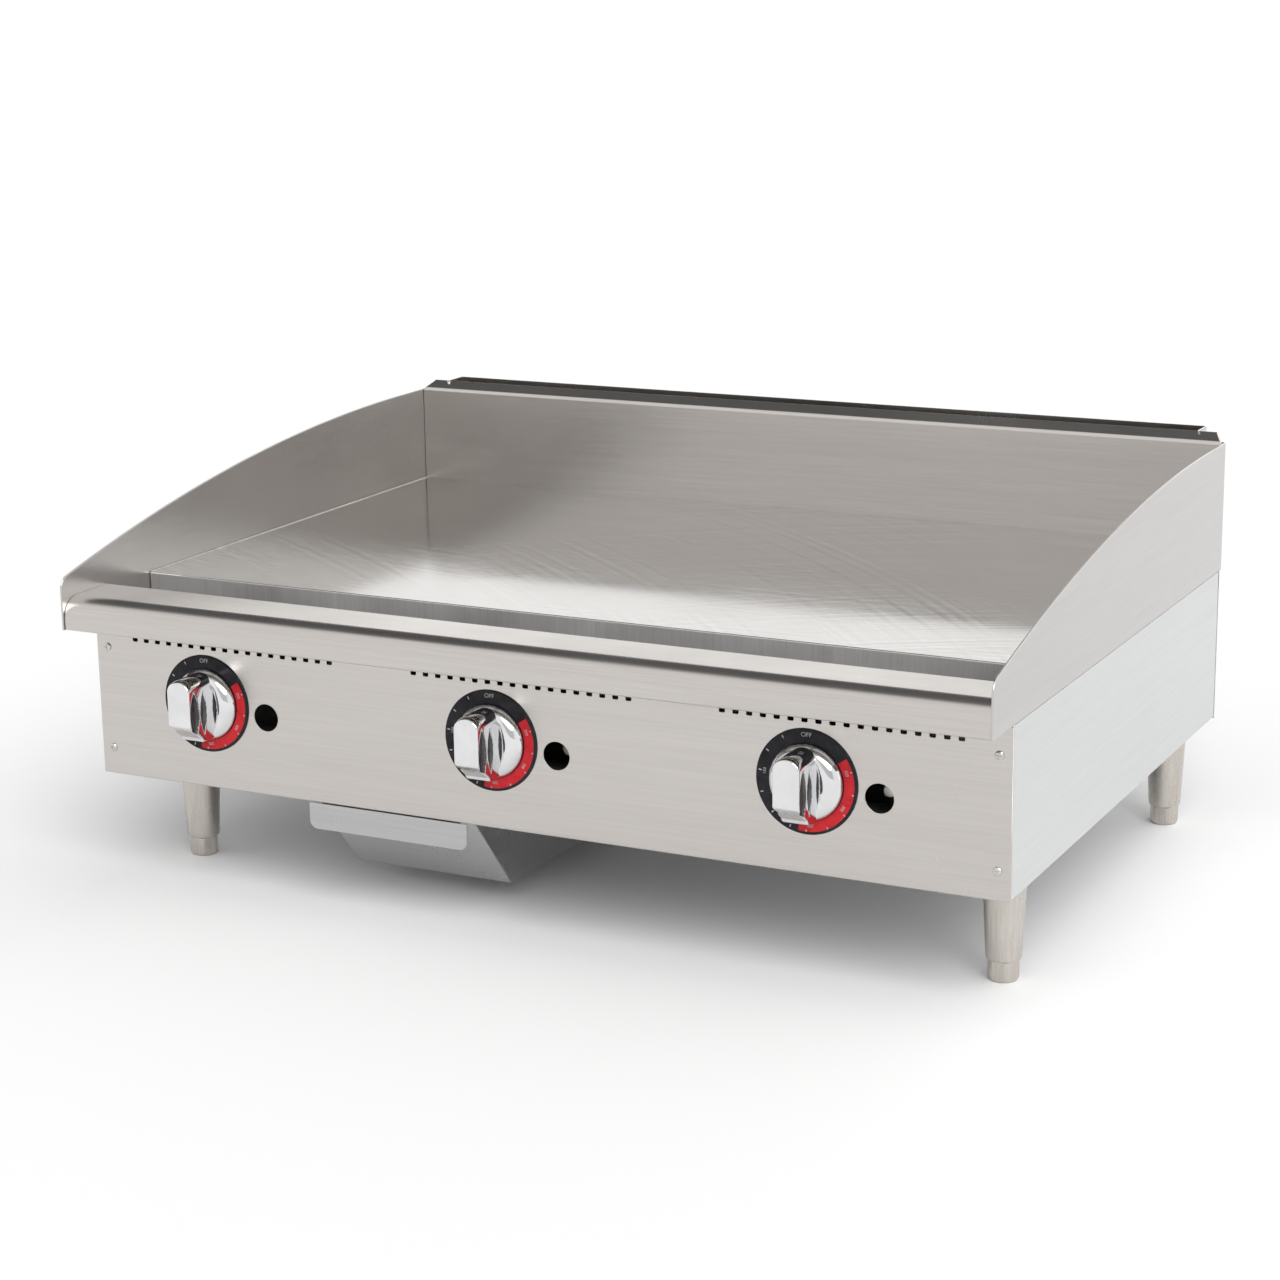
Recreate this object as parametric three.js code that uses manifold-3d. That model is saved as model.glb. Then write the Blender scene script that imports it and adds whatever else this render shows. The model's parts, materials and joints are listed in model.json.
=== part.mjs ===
// A 36 inch countertop gas griddle with three burners: a thick steel plate between tapered splashes,
// a grease trough behind a rounded front ledge, a hanging grease drawer, manual gas controls and four
// adjustable legs. Millimetres, +Z up, +X to the cook's right, the cook standing on the -Y side.
// The griddle group's own Y = 0 is the face of the control panel and its Z = 0 is the counter top.
import * as THREE from "three";
import { mergeVertices } from "three/addons/utils/BufferGeometryUtils.js";
import Module from "manifold-3d";

const wasm = await Module();
wasm.setup();

// ---- Driving dimensions -------------------------------------------------------------------------

const WIDTH = 914.4; // overall, three 12 inch burner zones
const ZONE = 304.8; // width of one burner zone
const SHEET = 1.5; // body sheet steel
const SPLASH_SHEET = 1.8; // splash sheet steel
const GAP = 0.3; // fitting gap between neighbouring pieces
const LEDGE_REACH = 49.2; // how far the ledge stands in front of the control panel
const SPLASH_FRONT = -51; // front edge of the side splashes
const FLUE_REAR = 651; // outer face of the flue's rear wall
const BODY_REAR = 613; // rear face of the lower body
const LEG_HEIGHT = 106; // counter to the underside of the body
const SEAM = 257.5; // lower edge of the splashes and the ledge
const PANEL_RETURN = 20; // flange under the control panel
const LEDGE_TOP = 288;
const SPLASH_TOP = 386; // flat rear part of the side splashes
const BACK_TOP = 394; // chamfered top of the back splash
const FLUE_TOP = 395.5;

const PLATE_TOP = 285.1;
const PLATE_THICK = 25.4;
const PLATE_FRONT = 85.4;
const PLATE_REAR = 611.4;

const BULLNOSE = 20; // radius along the ledge's front
const LEDGE_REAR = 20;
const TROUGH_FLOOR = 244;
const TROUGH_REAR = 100;

const BURNER_LEVEL = 188; // height of the knob, valve and burner axes
const KNOB_OFFSET = -29.3; // knob axis from the middle of its zone
const PORT_OFFSET = 36.2; // lighting port from the middle of its zone
const PORT_LEVEL = 181.3;
const PORT_RADIUS = 13;
const DIAL_RADIUS = 46.5;
const KNOB_RADIUS = 34;
const KNOB_REACH = 45;
const STEM_RADIUS = 4;
const STEM_FRONT = -13.7;
const STEM_REAR = 40;
const STEM_HOLE = 9; // radius of the hole round the stem, in the panel and the dial
const BURNER_RADIUS = 18;
const BURNER_SPREAD = 104; // between the two arms of a burner
const BURNER_MOUTH = 80;

const SLOTS = 18; // vent slots above each knob
const SLOT_PITCH = 12.7;
const SLOT_WIDTH = 5.6;
const SLOT_BOTTOM = 239.6;
const SLOT_TOP = 250;

const MANIFOLD_Y = 39;
const MANIFOLD_Z = 150;
const PIPE_RADIUS = 13.35; // three quarter inch pipe
const INLET_X = 395;

const DRAWER_LEFT = -225;
const DRAWER_RIGHT = -57.5;
const DRAWER_FRONT = 13.2; // top of the sloping front
const DRAWER_TOE = 80; // foot of the sloping front
const DRAWER_REAR = 430;
const DRAWER_TOP = 104;
const DRAWER_FLOOR = 25;
const DRAWER_SHEET = 1.2;
const LIP_BOTTOM = 80.5;
const LIP_TOP = 105.5; // just under the body

const LEG_X = 417.6;
const LEG_FRONT = 99.2;
const LEG_REAR = 582.4;
const FOOT_TOP = 19;
const FOOT_STEM = 5.8;
const STUD_RADIUS = 5.7;

const SCREW_X = 445.3;
const SCREW_LEVELS = [132.2, 231.4];
const SCREW_HOLE = 2.4;
const FIREWALL_Y = 112;
const RAIL_Y = 490; // cross rail under the burners

const SIDE = WIDTH / 2;
const INSIDE = SIDE - SPLASH_SHEET - GAP; // half width between the side splashes

// Axes of the knobs and of the lighting ports, one of each in every zone.
const KNOBS = { left: -ZONE + KNOB_OFFSET, middle: KNOB_OFFSET, right: ZONE + KNOB_OFFSET };
const PORTS = { left: -ZONE + PORT_OFFSET, middle: PORT_OFFSET, right: ZONE + PORT_OFFSET };
const DRAWER_MIDDLE = (DRAWER_LEFT + DRAWER_RIGHT) / 2;

// ---- Materials ----------------------------------------------------------------------------------

const finish = (color, roughness, metalness = 1) =>
  new THREE.MeshStandardMaterial({ color, roughness, metalness });

const STAINLESS = finish(0xc4c1bd, 0.35);
const PLATE_STEEL = finish(0x9a9692, 0.22);
const ALUMINISED = finish(0xa7a9aa, 0.5);
const BRASS = finish(0xb08d4a, 0.35);
const CHROME = finish(0xdedede, 0.08);
const BLACK_ENAMEL = finish(0x1c1c20, 0.3, 0);
const BLACK_PIPE = finish(0x3a3a3c, 0.6);
const CAST_LEG = finish(0xbeb9b2, 0.38);

// ---- Helpers ------------------------------------------------------------------------------------

// A closed three.js geometry as a solid that can be joined and cut.
function solid(geometry) {
  const plain = geometry.index ? geometry.toNonIndexed() : geometry.clone();
  plain.deleteAttribute("normal");
  plain.deleteAttribute("uv");
  const merged = mergeVertices(plain, 1e-3);
  const mesh = new wasm.Mesh({
    numProp: 3,
    vertProperties: merged.attributes.position.array,
    triVerts: new Uint32Array(merged.index.array),
  });
  return new wasm.Manifold(mesh);
}

function geometryOf(made) {
  const { vertProperties, triVerts } = made.getMesh();
  const geometry = new THREE.BufferGeometry();
  geometry.setAttribute("position", new THREE.BufferAttribute(vertProperties, 3));
  geometry.setIndex(new THREE.BufferAttribute(triVerts, 1));
  return geometry;
}

const join = (first, ...others) =>
  geometryOf(others.reduce((all, other) => all.add(solid(other)), solid(first)));

const cut = (body, ...tools) =>
  geometryOf(tools.reduce((left, tool) => left.subtract(solid(tool)), solid(body)));

// A box from its lowest to its highest coordinate on each axis.
function block([x0, x1], [y0, y1], [z0, z1]) {
  const box = new THREE.BoxGeometry(x1 - x0, y1 - y0, z1 - z0);
  return box.translate((x0 + x1) / 2, (y0 + y1) / 2, (z0 + z1) / 2);
}

const shapeOf = (points) => new THREE.Shape(points.map(([u, v]) => new THREE.Vector2(u, v)));

function extrude(shape, depth, u, v, w) {
  const geometry = new THREE.ExtrudeGeometry(shape, { depth, bevelEnabled: false, curveSegments: 6 });
  return geometry.applyMatrix4(new THREE.Matrix4().makeBasis(u, v, w));
}

const X = new THREE.Vector3(1, 0, 0);
const Y = new THREE.Vector3(0, 1, 0);
const Z = new THREE.Vector3(0, 0, 1);
const FORWARD = new THREE.Vector3(0, -1, 0);

// Prisms: a section in (y, z) along X, one in (x, z) along Y, and one in (x, y) along Z.
const alongX = (section, x0, x1) => extrude(shapeOf(section), x1 - x0, Y, Z, X).translate(x0, 0, 0);
const alongY = (section, y0, y1) => extrude(shapeOf(section), y1 - y0, X, Z, FORWARD).translate(0, y1, 0);
const alongZ = (section, z0, z1) => extrude(shapeOf(section), z1 - z0, X, Y, Z).translate(0, 0, z0);

// Round pieces: a profile of [radius, height] turned about an axis through the origin.
function turned(profile, segments) {
  const points = profile.map(([radius, height]) => new THREE.Vector2(radius, height));
  return new THREE.LatheGeometry(points, segments);
}

const turnedZ = (profile, segments = 20) => turned(profile, segments).rotateX(Math.PI / 2);
const turnedX = (profile, segments = 20) => turned(profile, segments).rotateZ(-Math.PI / 2);

function rodY(radius, y0, y1, x, z, segments = 20) {
  const rod = new THREE.CylinderGeometry(radius, radius, y1 - y0, segments);
  return rod.translate(x, (y0 + y1) / 2, z);
}

function rodZ(radius, z0, z1, x, y, segments = 20) {
  const rod = new THREE.CylinderGeometry(radius, radius, z1 - z0, segments);
  return rod.rotateX(Math.PI / 2).translate(x, y, (z0 + z1) / 2);
}

// The outline of a bent sheet: one face follows the points, the other lies to their left.
function bentSheet(points, thickness) {
  const other = points.map(([u, v], i) => {
    const normals = [];
    for (const [a, b] of [[i - 1, i], [i, i + 1]]) {
      if (a < 0 || b >= points.length) continue;
      const run = new THREE.Vector2(points[b][0] - points[a][0], points[b][1] - points[a][1]);
      run.normalize();
      normals.push(new THREE.Vector2(-run.y, run.x));
    }
    const [first, last] = [normals[0], normals[normals.length - 1]];
    const reach = thickness / (1 + first.dot(last));
    return [u + (first.x + last.x) * reach, v + (first.y + last.y) * reach];
  });
  return [...points, ...other.reverse()];
}

// Points on an arc, in degrees from the first axis towards the second.
function arc([u, v], radius, from, to, steps) {
  return Array.from({ length: steps + 1 }, (_, i) => {
    const angle = THREE.MathUtils.degToRad(from + ((to - from) * i) / steps);
    return [u + radius * Math.cos(angle), v + radius * Math.sin(angle)];
  });
}

// A solid round tube of an even number of sides along a smooth path.
function tubeAlong(path, radius, sides, steps) {
  const section = new THREE.Shape();
  for (let i = 0; i < sides; i++) {
    const angle = (2 * Math.PI * i) / sides;
    const point = [radius * Math.cos(angle), radius * Math.sin(angle)];
    if (i === 0) section.moveTo(...point);
    else section.lineTo(...point);
  }
  return new THREE.ExtrudeGeometry(section, { steps, extrudePath: path, bevelEnabled: false });
}

const griddle = new THREE.Group();
const body = new THREE.Group();
griddle.add(body);
body.position.y = -(SPLASH_FRONT + FLUE_REAR) / 2; // the group's origin is under the middle of the whole

function piece(name, geometry, material, parent = body) {
  const mesh = new THREE.Mesh(geometry, material);
  mesh.name = name;
  parent.add(mesh);
  return mesh;
}

// ---- Cooking surface and splashes ---------------------------------------------------------------

function griddlePlate() {
  const bevel = 1.5;
  const [front, rear, top, under] = [PLATE_FRONT, PLATE_REAR, PLATE_TOP, PLATE_TOP - PLATE_THICK];
  const section = [[front, under], [rear, under], [rear, top], [front + bevel, top], [front, top - bevel]];
  return alongX(section, -INSIDE, INSIDE);
}

// The taper is a long arc that starts level at the flat rear part and ends in a small round in front.
function splashOutline() {
  const rear = 618.5;
  const taperEnd = 560;
  const taperRadius = 2370;
  const cornerRadius = 13;
  const low = SPLASH_TOP - taperRadius; // centre of the long arc
  const cornerY = SPLASH_FRONT + cornerRadius;
  const lean = Math.asin((taperEnd - cornerY) / (taperRadius - cornerRadius));
  const cornerZ = low + (taperRadius - cornerRadius) * Math.cos(lean);
  const meet = 90 + THREE.MathUtils.radToDeg(lean);
  return [
    [SPLASH_FRONT, SEAM],
    [rear, SEAM],
    [rear, SPLASH_TOP],
    ...arc([taperEnd, low], taperRadius, 90, meet, 10),
    ...arc([cornerY, cornerZ], cornerRadius, meet, 180, 4).slice(1),
  ];
}

function backSplash() {
  const chamfer = BACK_TOP - SPLASH_TOP;
  const outline = [
    [-INSIDE, SEAM],
    [INSIDE, SEAM],
    [INSIDE, SPLASH_TOP],
    [INSIDE - chamfer, BACK_TOP],
    [-INSIDE + chamfer, BACK_TOP],
    [-INSIDE, SPLASH_TOP],
  ];
  return alongY(outline, PLATE_REAR + GAP, PLATE_REAR + GAP + SPLASH_SHEET);
}

piece("griddle_plate", griddlePlate(), PLATE_STEEL);
piece("splash_left", alongX(splashOutline(), -SIDE, -SIDE + SPLASH_SHEET), STAINLESS);
piece("splash_right", alongX(splashOutline(), SIDE - SPLASH_SHEET, SIDE), STAINLESS);
piece("splash_back", backSplash(), STAINLESS);

// ---- Ledge, trough and grease chute -------------------------------------------------------------

function frontLedge() {
  const returnDepth = 16;
  const rearFlange = 262;
  const nose = arc([-LEDGE_REACH + BULLNOSE, LEDGE_TOP - BULLNOSE], BULLNOSE, 180, 90, 6);
  const outer = [
    [-LEDGE_REACH + returnDepth, SEAM],
    [-LEDGE_REACH, SEAM],
    ...nose,
    [LEDGE_REAR, LEDGE_TOP],
    [LEDGE_REAR, rearFlange],
  ];
  return alongX(bentSheet(outer.reverse(), SHEET), -INSIDE, INSIDE);
}

const CHUTE = { x0: DRAWER_MIDDLE - 25, x1: DRAWER_MIDDLE + 25, y0: 60, y1: 90 };

// The trough's front wall stands behind the ledge; its rear wall ends under the plate.
function greaseTrough() {
  const front = LEDGE_REAR + GAP;
  const [frontTop, rearTop] = [284, PLATE_TOP - PLATE_THICK - 2 * GAP];
  const end = INSIDE - 2;
  const [floor, rear] = [TROUGH_FLOOR, TROUGH_REAR];
  const outer = [[front, frontTop], [front, floor], [rear, floor], [rear, rearTop]];
  const channel = alongX(bentSheet(outer, SHEET), -end, end);
  const ends = [-end, end - SHEET].map((x) =>
    block([x, x + SHEET], [front, rear], [floor, rearTop]),
  );
  const drain = block(
    [CHUTE.x0 + 3, CHUTE.x1 - 3],
    [CHUTE.y0 + 3, CHUTE.y1 - 3],
    [floor - 5, floor + 5],
  );
  return cut(join(channel, ...ends), drain);
}

function greaseChute() {
  const wall = 1.2;
  const { x0, x1, y0, y1 } = CHUTE;
  const outer = block([x0, x1], [y0, y1], [LEG_HEIGHT + 0.5, TROUGH_FLOOR - GAP]);
  const inner = block([x0 + wall, x1 - wall], [y0 + wall, y1 - wall], [0, SEAM]);
  return cut(outer, inner);
}

piece("front_ledge", frontLedge(), STAINLESS);
piece("grease_trough", greaseTrough(), STAINLESS);
piece("grease_chute", greaseChute(), STAINLESS);

// ---- Body shell ---------------------------------------------------------------------------------

function controlPanel() {
  const top = 256;
  const outer = [[0, top], [0, LEG_HEIGHT], [PANEL_RETURN, LEG_HEIGHT]];
  const sheet = alongX(bentSheet(outer, SHEET), -SIDE, SIDE);
  const through = [-5, SHEET + 5];
  const tools = [];
  for (const x of Object.values(KNOBS)) tools.push(rodY(STEM_HOLE, ...through, x, BURNER_LEVEL, 16));
  for (const x of Object.values(PORTS)) tools.push(rodY(PORT_RADIUS, ...through, x, PORT_LEVEL, 28));
  for (const zone of [-ZONE, 0, ZONE]) {
    for (let i = 0; i < SLOTS; i++) {
      const x = zone + (i - (SLOTS - 1) / 2) * SLOT_PITCH;
      tools.push(block([x - SLOT_WIDTH / 2, x + SLOT_WIDTH / 2], through, [SLOT_BOTTOM, SLOT_TOP]));
    }
  }
  for (const x of [-SCREW_X, SCREW_X]) {
    for (const z of SCREW_LEVELS) tools.push(rodY(SCREW_HOLE, ...through, x, z, 10));
  }
  return cut(sheet, ...tools);
}

// A side panel is one sheet bent in behind the control panel and in along the rear.
function sidePanel() {
  const front = SHEET + GAP;
  const rear = BODY_REAR - SHEET - GAP;
  const flange = 24;
  const plan = bentSheet([[SIDE - flange, front], [SIDE, front], [SIDE, rear], [SIDE - flange, rear]], SHEET);
  const sheet = alongZ(plan, LEG_HEIGHT + SHEET + GAP, SEAM - GAP);
  const holes = SCREW_LEVELS.map((z) => rodY(SCREW_HOLE, front - 5, front + 5, SCREW_X, z, 10));
  return cut(sheet, ...holes);
}

const mirrored = (geometry) => geometryOf(solid(geometry).mirror([1, 0, 0]));

function rearPanel() {
  const top = 236;
  const [ventLow, ventHigh, ventPitch, ventHalf] = [136, 144, 80, 27];
  const through = [BODY_REAR - 5, BODY_REAR + 5];
  const sheet = block([-SIDE, SIDE], [BODY_REAR - SHEET, BODY_REAR], [LEG_HEIGHT, top]);
  const inlet = rodY(PIPE_RADIUS + 3, ...through, INLET_X, MANIFOLD_Z, 24);
  const vents = [];
  for (let step = -4; step <= 4; step++) {
    const x = step * ventPitch;
    vents.push(block([x - ventHalf, x + ventHalf], through, [ventLow, ventHigh]));
  }
  return cut(sheet, inlet, ...vents);
}

// The flue is a hat section on the back: flanges at the sides, and a duct open at its top.
function flueRiser() {
  const [low, high] = [170, FLUE_TOP];
  const halfDuct = 429;
  const flange = 620.5; // rear face of the flanges that the flue is fixed by
  const plan = [
    [-INSIDE, flange],
    [-halfDuct, flange],
    [-halfDuct, FLUE_REAR],
    [halfDuct, FLUE_REAR],
    [halfDuct, flange],
    [INSIDE, flange],
  ];
  const hat = alongZ(bentSheet(plan.reverse(), SHEET), low, high);
  const trims = [[-SIDE, -halfDuct - GAP], [halfDuct + GAP, SIDE]].map((x) =>
    block(x, [flange - 5, flange + 5], [SPLASH_TOP, FLUE_TOP + 5]),
  );
  const floor = block([-halfDuct + 1, halfDuct - 1], [flange, FLUE_REAR - 1], [low, low + SHEET]);
  return join(cut(hat, ...trims), floor);
}

// The pan has a hole for the chute and for each leg's stud, and air slots right of the drawer.
function bottomPan() {
  const top = LEG_HEIGHT + SHEET;
  const sheet = block([-SIDE + 3, SIDE - 3], [PANEL_RETURN + 1, BODY_REAR - SHEET - GAP], [LEG_HEIGHT, top]);
  const through = [LEG_HEIGHT - 5, top + 5];
  const drain = block([CHUTE.x0 - 1, CHUTE.x1 + 1], [CHUTE.y0 - 1, CHUTE.y1 + 1], through);
  const legHoles = [-LEG_X, LEG_X].flatMap((x) =>
    [LEG_FRONT, LEG_REAR].map((y) => rodZ(STUD_RADIUS + 0.8, ...through, x, y, 12)),
  );
  const [slotHalf, slotHalfWidth] = [28, 7];
  const airSlots = [60, 150, 240, 330].flatMap((x) =>
    [150, 270, 390, 510].map((y) =>
      block([x - slotHalf, x + slotHalf], [y - slotHalfWidth, y + slotHalfWidth], through),
    ),
  );
  return cut(sheet, drain, ...legHoles, ...airSlots);
}

piece("control_panel", controlPanel(), STAINLESS);
piece("side_panel_right", sidePanel(), STAINLESS);
piece("side_panel_left", mirrored(sidePanel()), STAINLESS);
piece("rear_panel", rearPanel(), ALUMINISED);
piece("flue_riser", flueRiser(), STAINLESS);
piece("bottom_pan", bottomPan(), ALUMINISED);

// Radius and depth along Y: a low domed head on the panel's face, and a smooth shank behind it.
const SCREW_HEAD = [[0, -1.9], [2.6, -1.7], [3.9, -0.9], [3.9, -0.2]];
const SCREW_SHANK = [[1.9, -0.2], [1.9, 9], [0, 9]];

SCREW_LEVELS.forEach((z, row) => {
  const level = ["lower", "upper"][row];
  for (const [side, x] of [["left", -SCREW_X], ["right", SCREW_X]]) {
    const screw = turned([...SCREW_HEAD, ...SCREW_SHANK], 12).translate(x, 0, z);
    piece(`panel_screw_${level}_${side}`, screw, STAINLESS);
  }
});

// ---- Burner box ---------------------------------------------------------------------------------

// Walls across the box stand on the bottom pan and let the supply pipe through.
const WALL_FOOT = LEG_HEIGHT + SHEET + 0.5;
const supplyHole = (y) => rodY(PIPE_RADIUS + 2, y - 5, y + 5, INLET_X, MANIFOLD_Z);

// The front wall holds the burners' mixer ends and keeps the heat off the valves.
function firewall() {
  const top = TROUGH_FLOOR - 1;
  const sheet = block([-INSIDE, INSIDE], [FIREWALL_Y, FIREWALL_Y + SHEET], [WALL_FOOT, top]);
  const through = [FIREWALL_Y - 5, FIREWALL_Y + 5];
  const mixers = Object.values(KNOBS).map((x) => rodY(BURNER_RADIUS + 1, ...through, x, BURNER_LEVEL, 16));
  const pilots = Object.values(PORTS).map((x) => rodY(PORT_RADIUS, ...through, x, PORT_LEVEL, 12));
  return cut(sheet, ...mixers, ...pilots, supplyHole(FIREWALL_Y));
}

// A cross rail with a half-round saddle under each burner arm.
function burnerRail(y) {
  const rail = block([-INSIDE, INSIDE], [y, y + SHEET], [WALL_FOOT, BURNER_LEVEL]);
  const arms = Object.values(KNOBS).flatMap((x) => [x, x + BURNER_SPREAD]);
  const saddles = arms.map((x) => rodY(BURNER_RADIUS + GAP, y - 5, y + 5, x, BURNER_LEVEL));
  return cut(rail, ...saddles, supplyHole(y));
}

function heatShield() {
  const level = 124;
  return block([-INSIDE, INSIDE], [FIREWALL_Y + 10, RAIL_Y - 5], [level, level + SHEET]);
}

// An angle that carries one side edge of the plate.
function plateRail() {
  const outer = INSIDE - 1;
  const top = PLATE_TOP - PLATE_THICK - GAP;
  const [drop, shelf, thickness] = [63, 26, 2];
  const section = bentSheet([[outer, top - drop], [outer, top], [outer - shelf, top]], thickness);
  return alongY(section, FIREWALL_Y + 8, BODY_REAR - 10);
}

// One bent tube: the mixer end in front, a turn at the rear, and a closed end behind the firewall.
function burner(x) {
  const [closedEnd, bend, level] = [150, 510, BURNER_LEVEL];
  const [boreDepth, wall] = [60, 2];
  const far = x + BURNER_SPREAD;
  const [overlap, sides] = [6, 12];
  const turn = arc([x + BURNER_SPREAD / 2, bend], BURNER_SPREAD / 2, 180, 0, 8);
  const points = [[x, bend - overlap], ...turn, [far, bend - overlap]];
  const route = new THREE.CatmullRomCurve3(points.map(([u, v]) => new THREE.Vector3(u, v, level)));
  const tube = join(
    rodY(BURNER_RADIUS, BURNER_MOUTH, bend, x, level, sides),
    rodY(BURNER_RADIUS, closedEnd, bend, far, level, sides),
    tubeAlong(route, BURNER_RADIUS - 0.4, sides, 8),
  );
  const bore = rodY(BURNER_RADIUS - wall, BURNER_MOUTH - 5, BURNER_MOUTH + boreDepth, x, level, sides);
  return cut(tube, bore);
}

// A cup that turns on the burner's mouth and opens or closes two air windows round the gas jet.
function airShutter() {
  const [inner, outer, jet] = [BURNER_RADIUS + 1.2, BURNER_RADIUS + 2.7, 7];
  const front = BURNER_MOUTH - SHEET - 2.5;
  const sleeve = BURNER_MOUTH + 18;
  const cup = turned(
    [
      [jet, front],
      [outer, front],
      [outer, sleeve],
      [inner, sleeve],
      [inner, front + SHEET],
      [jet, front + SHEET],
      [jet, front],
    ],
    16,
  );
  const windows = [-12.5, 12.5].map((x) => block([x - 4, x + 4], [front - 5, front + 5], [-7, 7]));
  return cut(cup, ...windows);
}

piece("firewall", firewall(), ALUMINISED);
piece("burner_rail", burnerRail(RAIL_Y), ALUMINISED);
piece("heat_shield", heatShield(), ALUMINISED);
piece("plate_rail_right", plateRail(), ALUMINISED);
piece("plate_rail_left", mirrored(plateRail()), ALUMINISED);

for (const [zone, x] of Object.entries(KNOBS)) {
  piece(`burner_${zone}`, burner(x), ALUMINISED);
  piece(`air_shutter_${zone}`, airShutter(), STAINLESS).position.set(x, 0, BURNER_LEVEL);
}

// ---- Gas train ----------------------------------------------------------------------------------

const MANIFOLD_TOP = MANIFOLD_Z + PIPE_RADIUS + GAP;
const PILOT_VALVE_REAR = 52;

const ELBOW_RADIUS = 17;
const ELBOW_REACH = 19; // from the elbow's corner to its end face

function manifoldPipe() {
  const left = -372;
  const length = INLET_X - ELBOW_REACH - 1 - left;
  const pipe = [[0, 0], [PIPE_RADIUS, 0], [PIPE_RADIUS, length], [0, length]];
  return turnedX(pipe).translate(left, MANIFOLD_Y, MANIFOLD_Z);
}

// The supply comes in at the rear and turns into the manifold through an elbow.
function gasInlet() {
  const [rear, bore, boreDepth] = [640, 10.4, 50];
  const socketEnd = MANIFOLD_Y + ELBOW_REACH + 4;
  const arm = turnedX([[0, 0], [ELBOW_RADIUS, 0], [ELBOW_RADIUS, ELBOW_REACH], [0, ELBOW_REACH]]);
  const made = join(
    arm.translate(INLET_X - ELBOW_REACH, MANIFOLD_Y, MANIFOLD_Z),
    new THREE.SphereGeometry(ELBOW_RADIUS, 20, 10).translate(INLET_X, MANIFOLD_Y, MANIFOLD_Z),
    rodY(ELBOW_RADIUS, MANIFOLD_Y, socketEnd, INLET_X, MANIFOLD_Z),
    rodY(PIPE_RADIUS, socketEnd - 2, rear, INLET_X, MANIFOLD_Z),
  );
  return cut(made, rodY(bore, rear - boreDepth, rear + 5, INLET_X, MANIFOLD_Z));
}

// A valve casting in axes of its own, with the stem's axis as Y: collar, body, outlet, jet and inlet.
function gasValve() {
  const base = MANIFOLD_TOP - BURNER_LEVEL;
  const casting = join(
    rodY(10, 4, 23, 0, 0, 12),
    block([-15, 15], [22, 54], [-15, 15]),
    rodY(8, 53, 68, 0, 0, 12),
    rodY(5, 67, BURNER_MOUTH - 6, 0, 0, 6),
    rodZ(9, base, -14, 0, MANIFOLD_Y, 12),
  );
  return cut(casting, rodY(STEM_RADIUS + 0.9, 0, STEM_REAR + 2, 0, 0, 12));
}

// Its adjusting end faces the lighting port.
function pilotValve() {
  const base = MANIFOLD_TOP - PORT_LEVEL;
  return join(
    rodY(5, 22, 30, 0, 0, 10),
    block([-7, 7], [29, PILOT_VALVE_REAR], [-7, 7]),
    rodZ(6, base, -6, 0, MANIFOLD_Y, 8),
  );
}

// A straight tube through the firewall with a hood over its flame end.
function pilotTube() {
  const [radius, hoodFront, hoodRear] = [3.2, 166, 184];
  return join(
    rodY(radius, PILOT_VALVE_REAR + GAP, hoodFront + 2, 0, 0, 10),
    block([-8, 8], [hoodFront, hoodRear], [-9, 22]),
  );
}

piece("manifold_pipe", manifoldPipe(), BLACK_PIPE);
piece("gas_inlet", gasInlet(), BLACK_PIPE);

for (const [zone, x] of Object.entries(KNOBS)) {
  piece(`gas_valve_${zone}`, gasValve(), BRASS).position.set(x, 0, BURNER_LEVEL);
}
for (const [zone, x] of Object.entries(PORTS)) {
  piece(`pilot_valve_${zone}`, pilotValve(), BRASS).position.set(x, 0, PORT_LEVEL);
  piece(`pilot_tube_${zone}`, pilotTube(), ALUMINISED).position.set(x, 0, PORT_LEVEL);
}

// ---- Knobs and dials ----------------------------------------------------------------------------

// A domed skirt with an upright grip blade, in the knob's own axes; it turns about Y.
function knob() {
  const back = -2.4;
  const dome = [[0, -13], [22, -12.5], [28, -10.6], [32, -7.4], [KNOB_RADIUS, -4]];
  const skirt = [...dome, [KNOB_RADIUS, back], [0, back]];
  const [bladeRoot, bladeHalf] = [-8, 12.2];
  const bladeSide = [
    [bladeRoot, -30],
    [bladeRoot, 32],
    [-40, 31.5],
    [-KNOB_REACH, 28.5],
    [-KNOB_REACH, -12],
    [-34, -29],
  ];
  const bore = rodY(STEM_RADIUS + 0.4, STEM_FRONT - GAP, 5, 0, 0, 16);
  return cut(join(turned(skirt, 32), alongX(bladeSide, -bladeHalf, bladeHalf)), bore);
}

function dialPlate() {
  const [rim, front, back] = [DIAL_RADIUS, -1.6, -0.1];
  const ring = [[STEM_HOLE, front], [rim - 0.5, front], [rim, front + 0.5], [rim, back], [STEM_HOLE, back]];
  return turned([...ring, ring[0]], 36);
}

for (const [zone, x] of Object.entries(KNOBS)) {
  const control = new THREE.Group();
  control.position.set(x, 0, BURNER_LEVEL);
  body.add(control);
  piece(`dial_plate_${zone}`, dialPlate(), BLACK_ENAMEL, control);
  piece(`knob_${zone}`, knob(), CHROME, control);
  piece(`valve_stem_${zone}`, rodY(STEM_RADIUS, STEM_FRONT, STEM_REAR, 0, 0, 16), BRASS, control);
}

// ---- Grease drawer ------------------------------------------------------------------------------

const DRAWER_FLANGE = 8.8;

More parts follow.
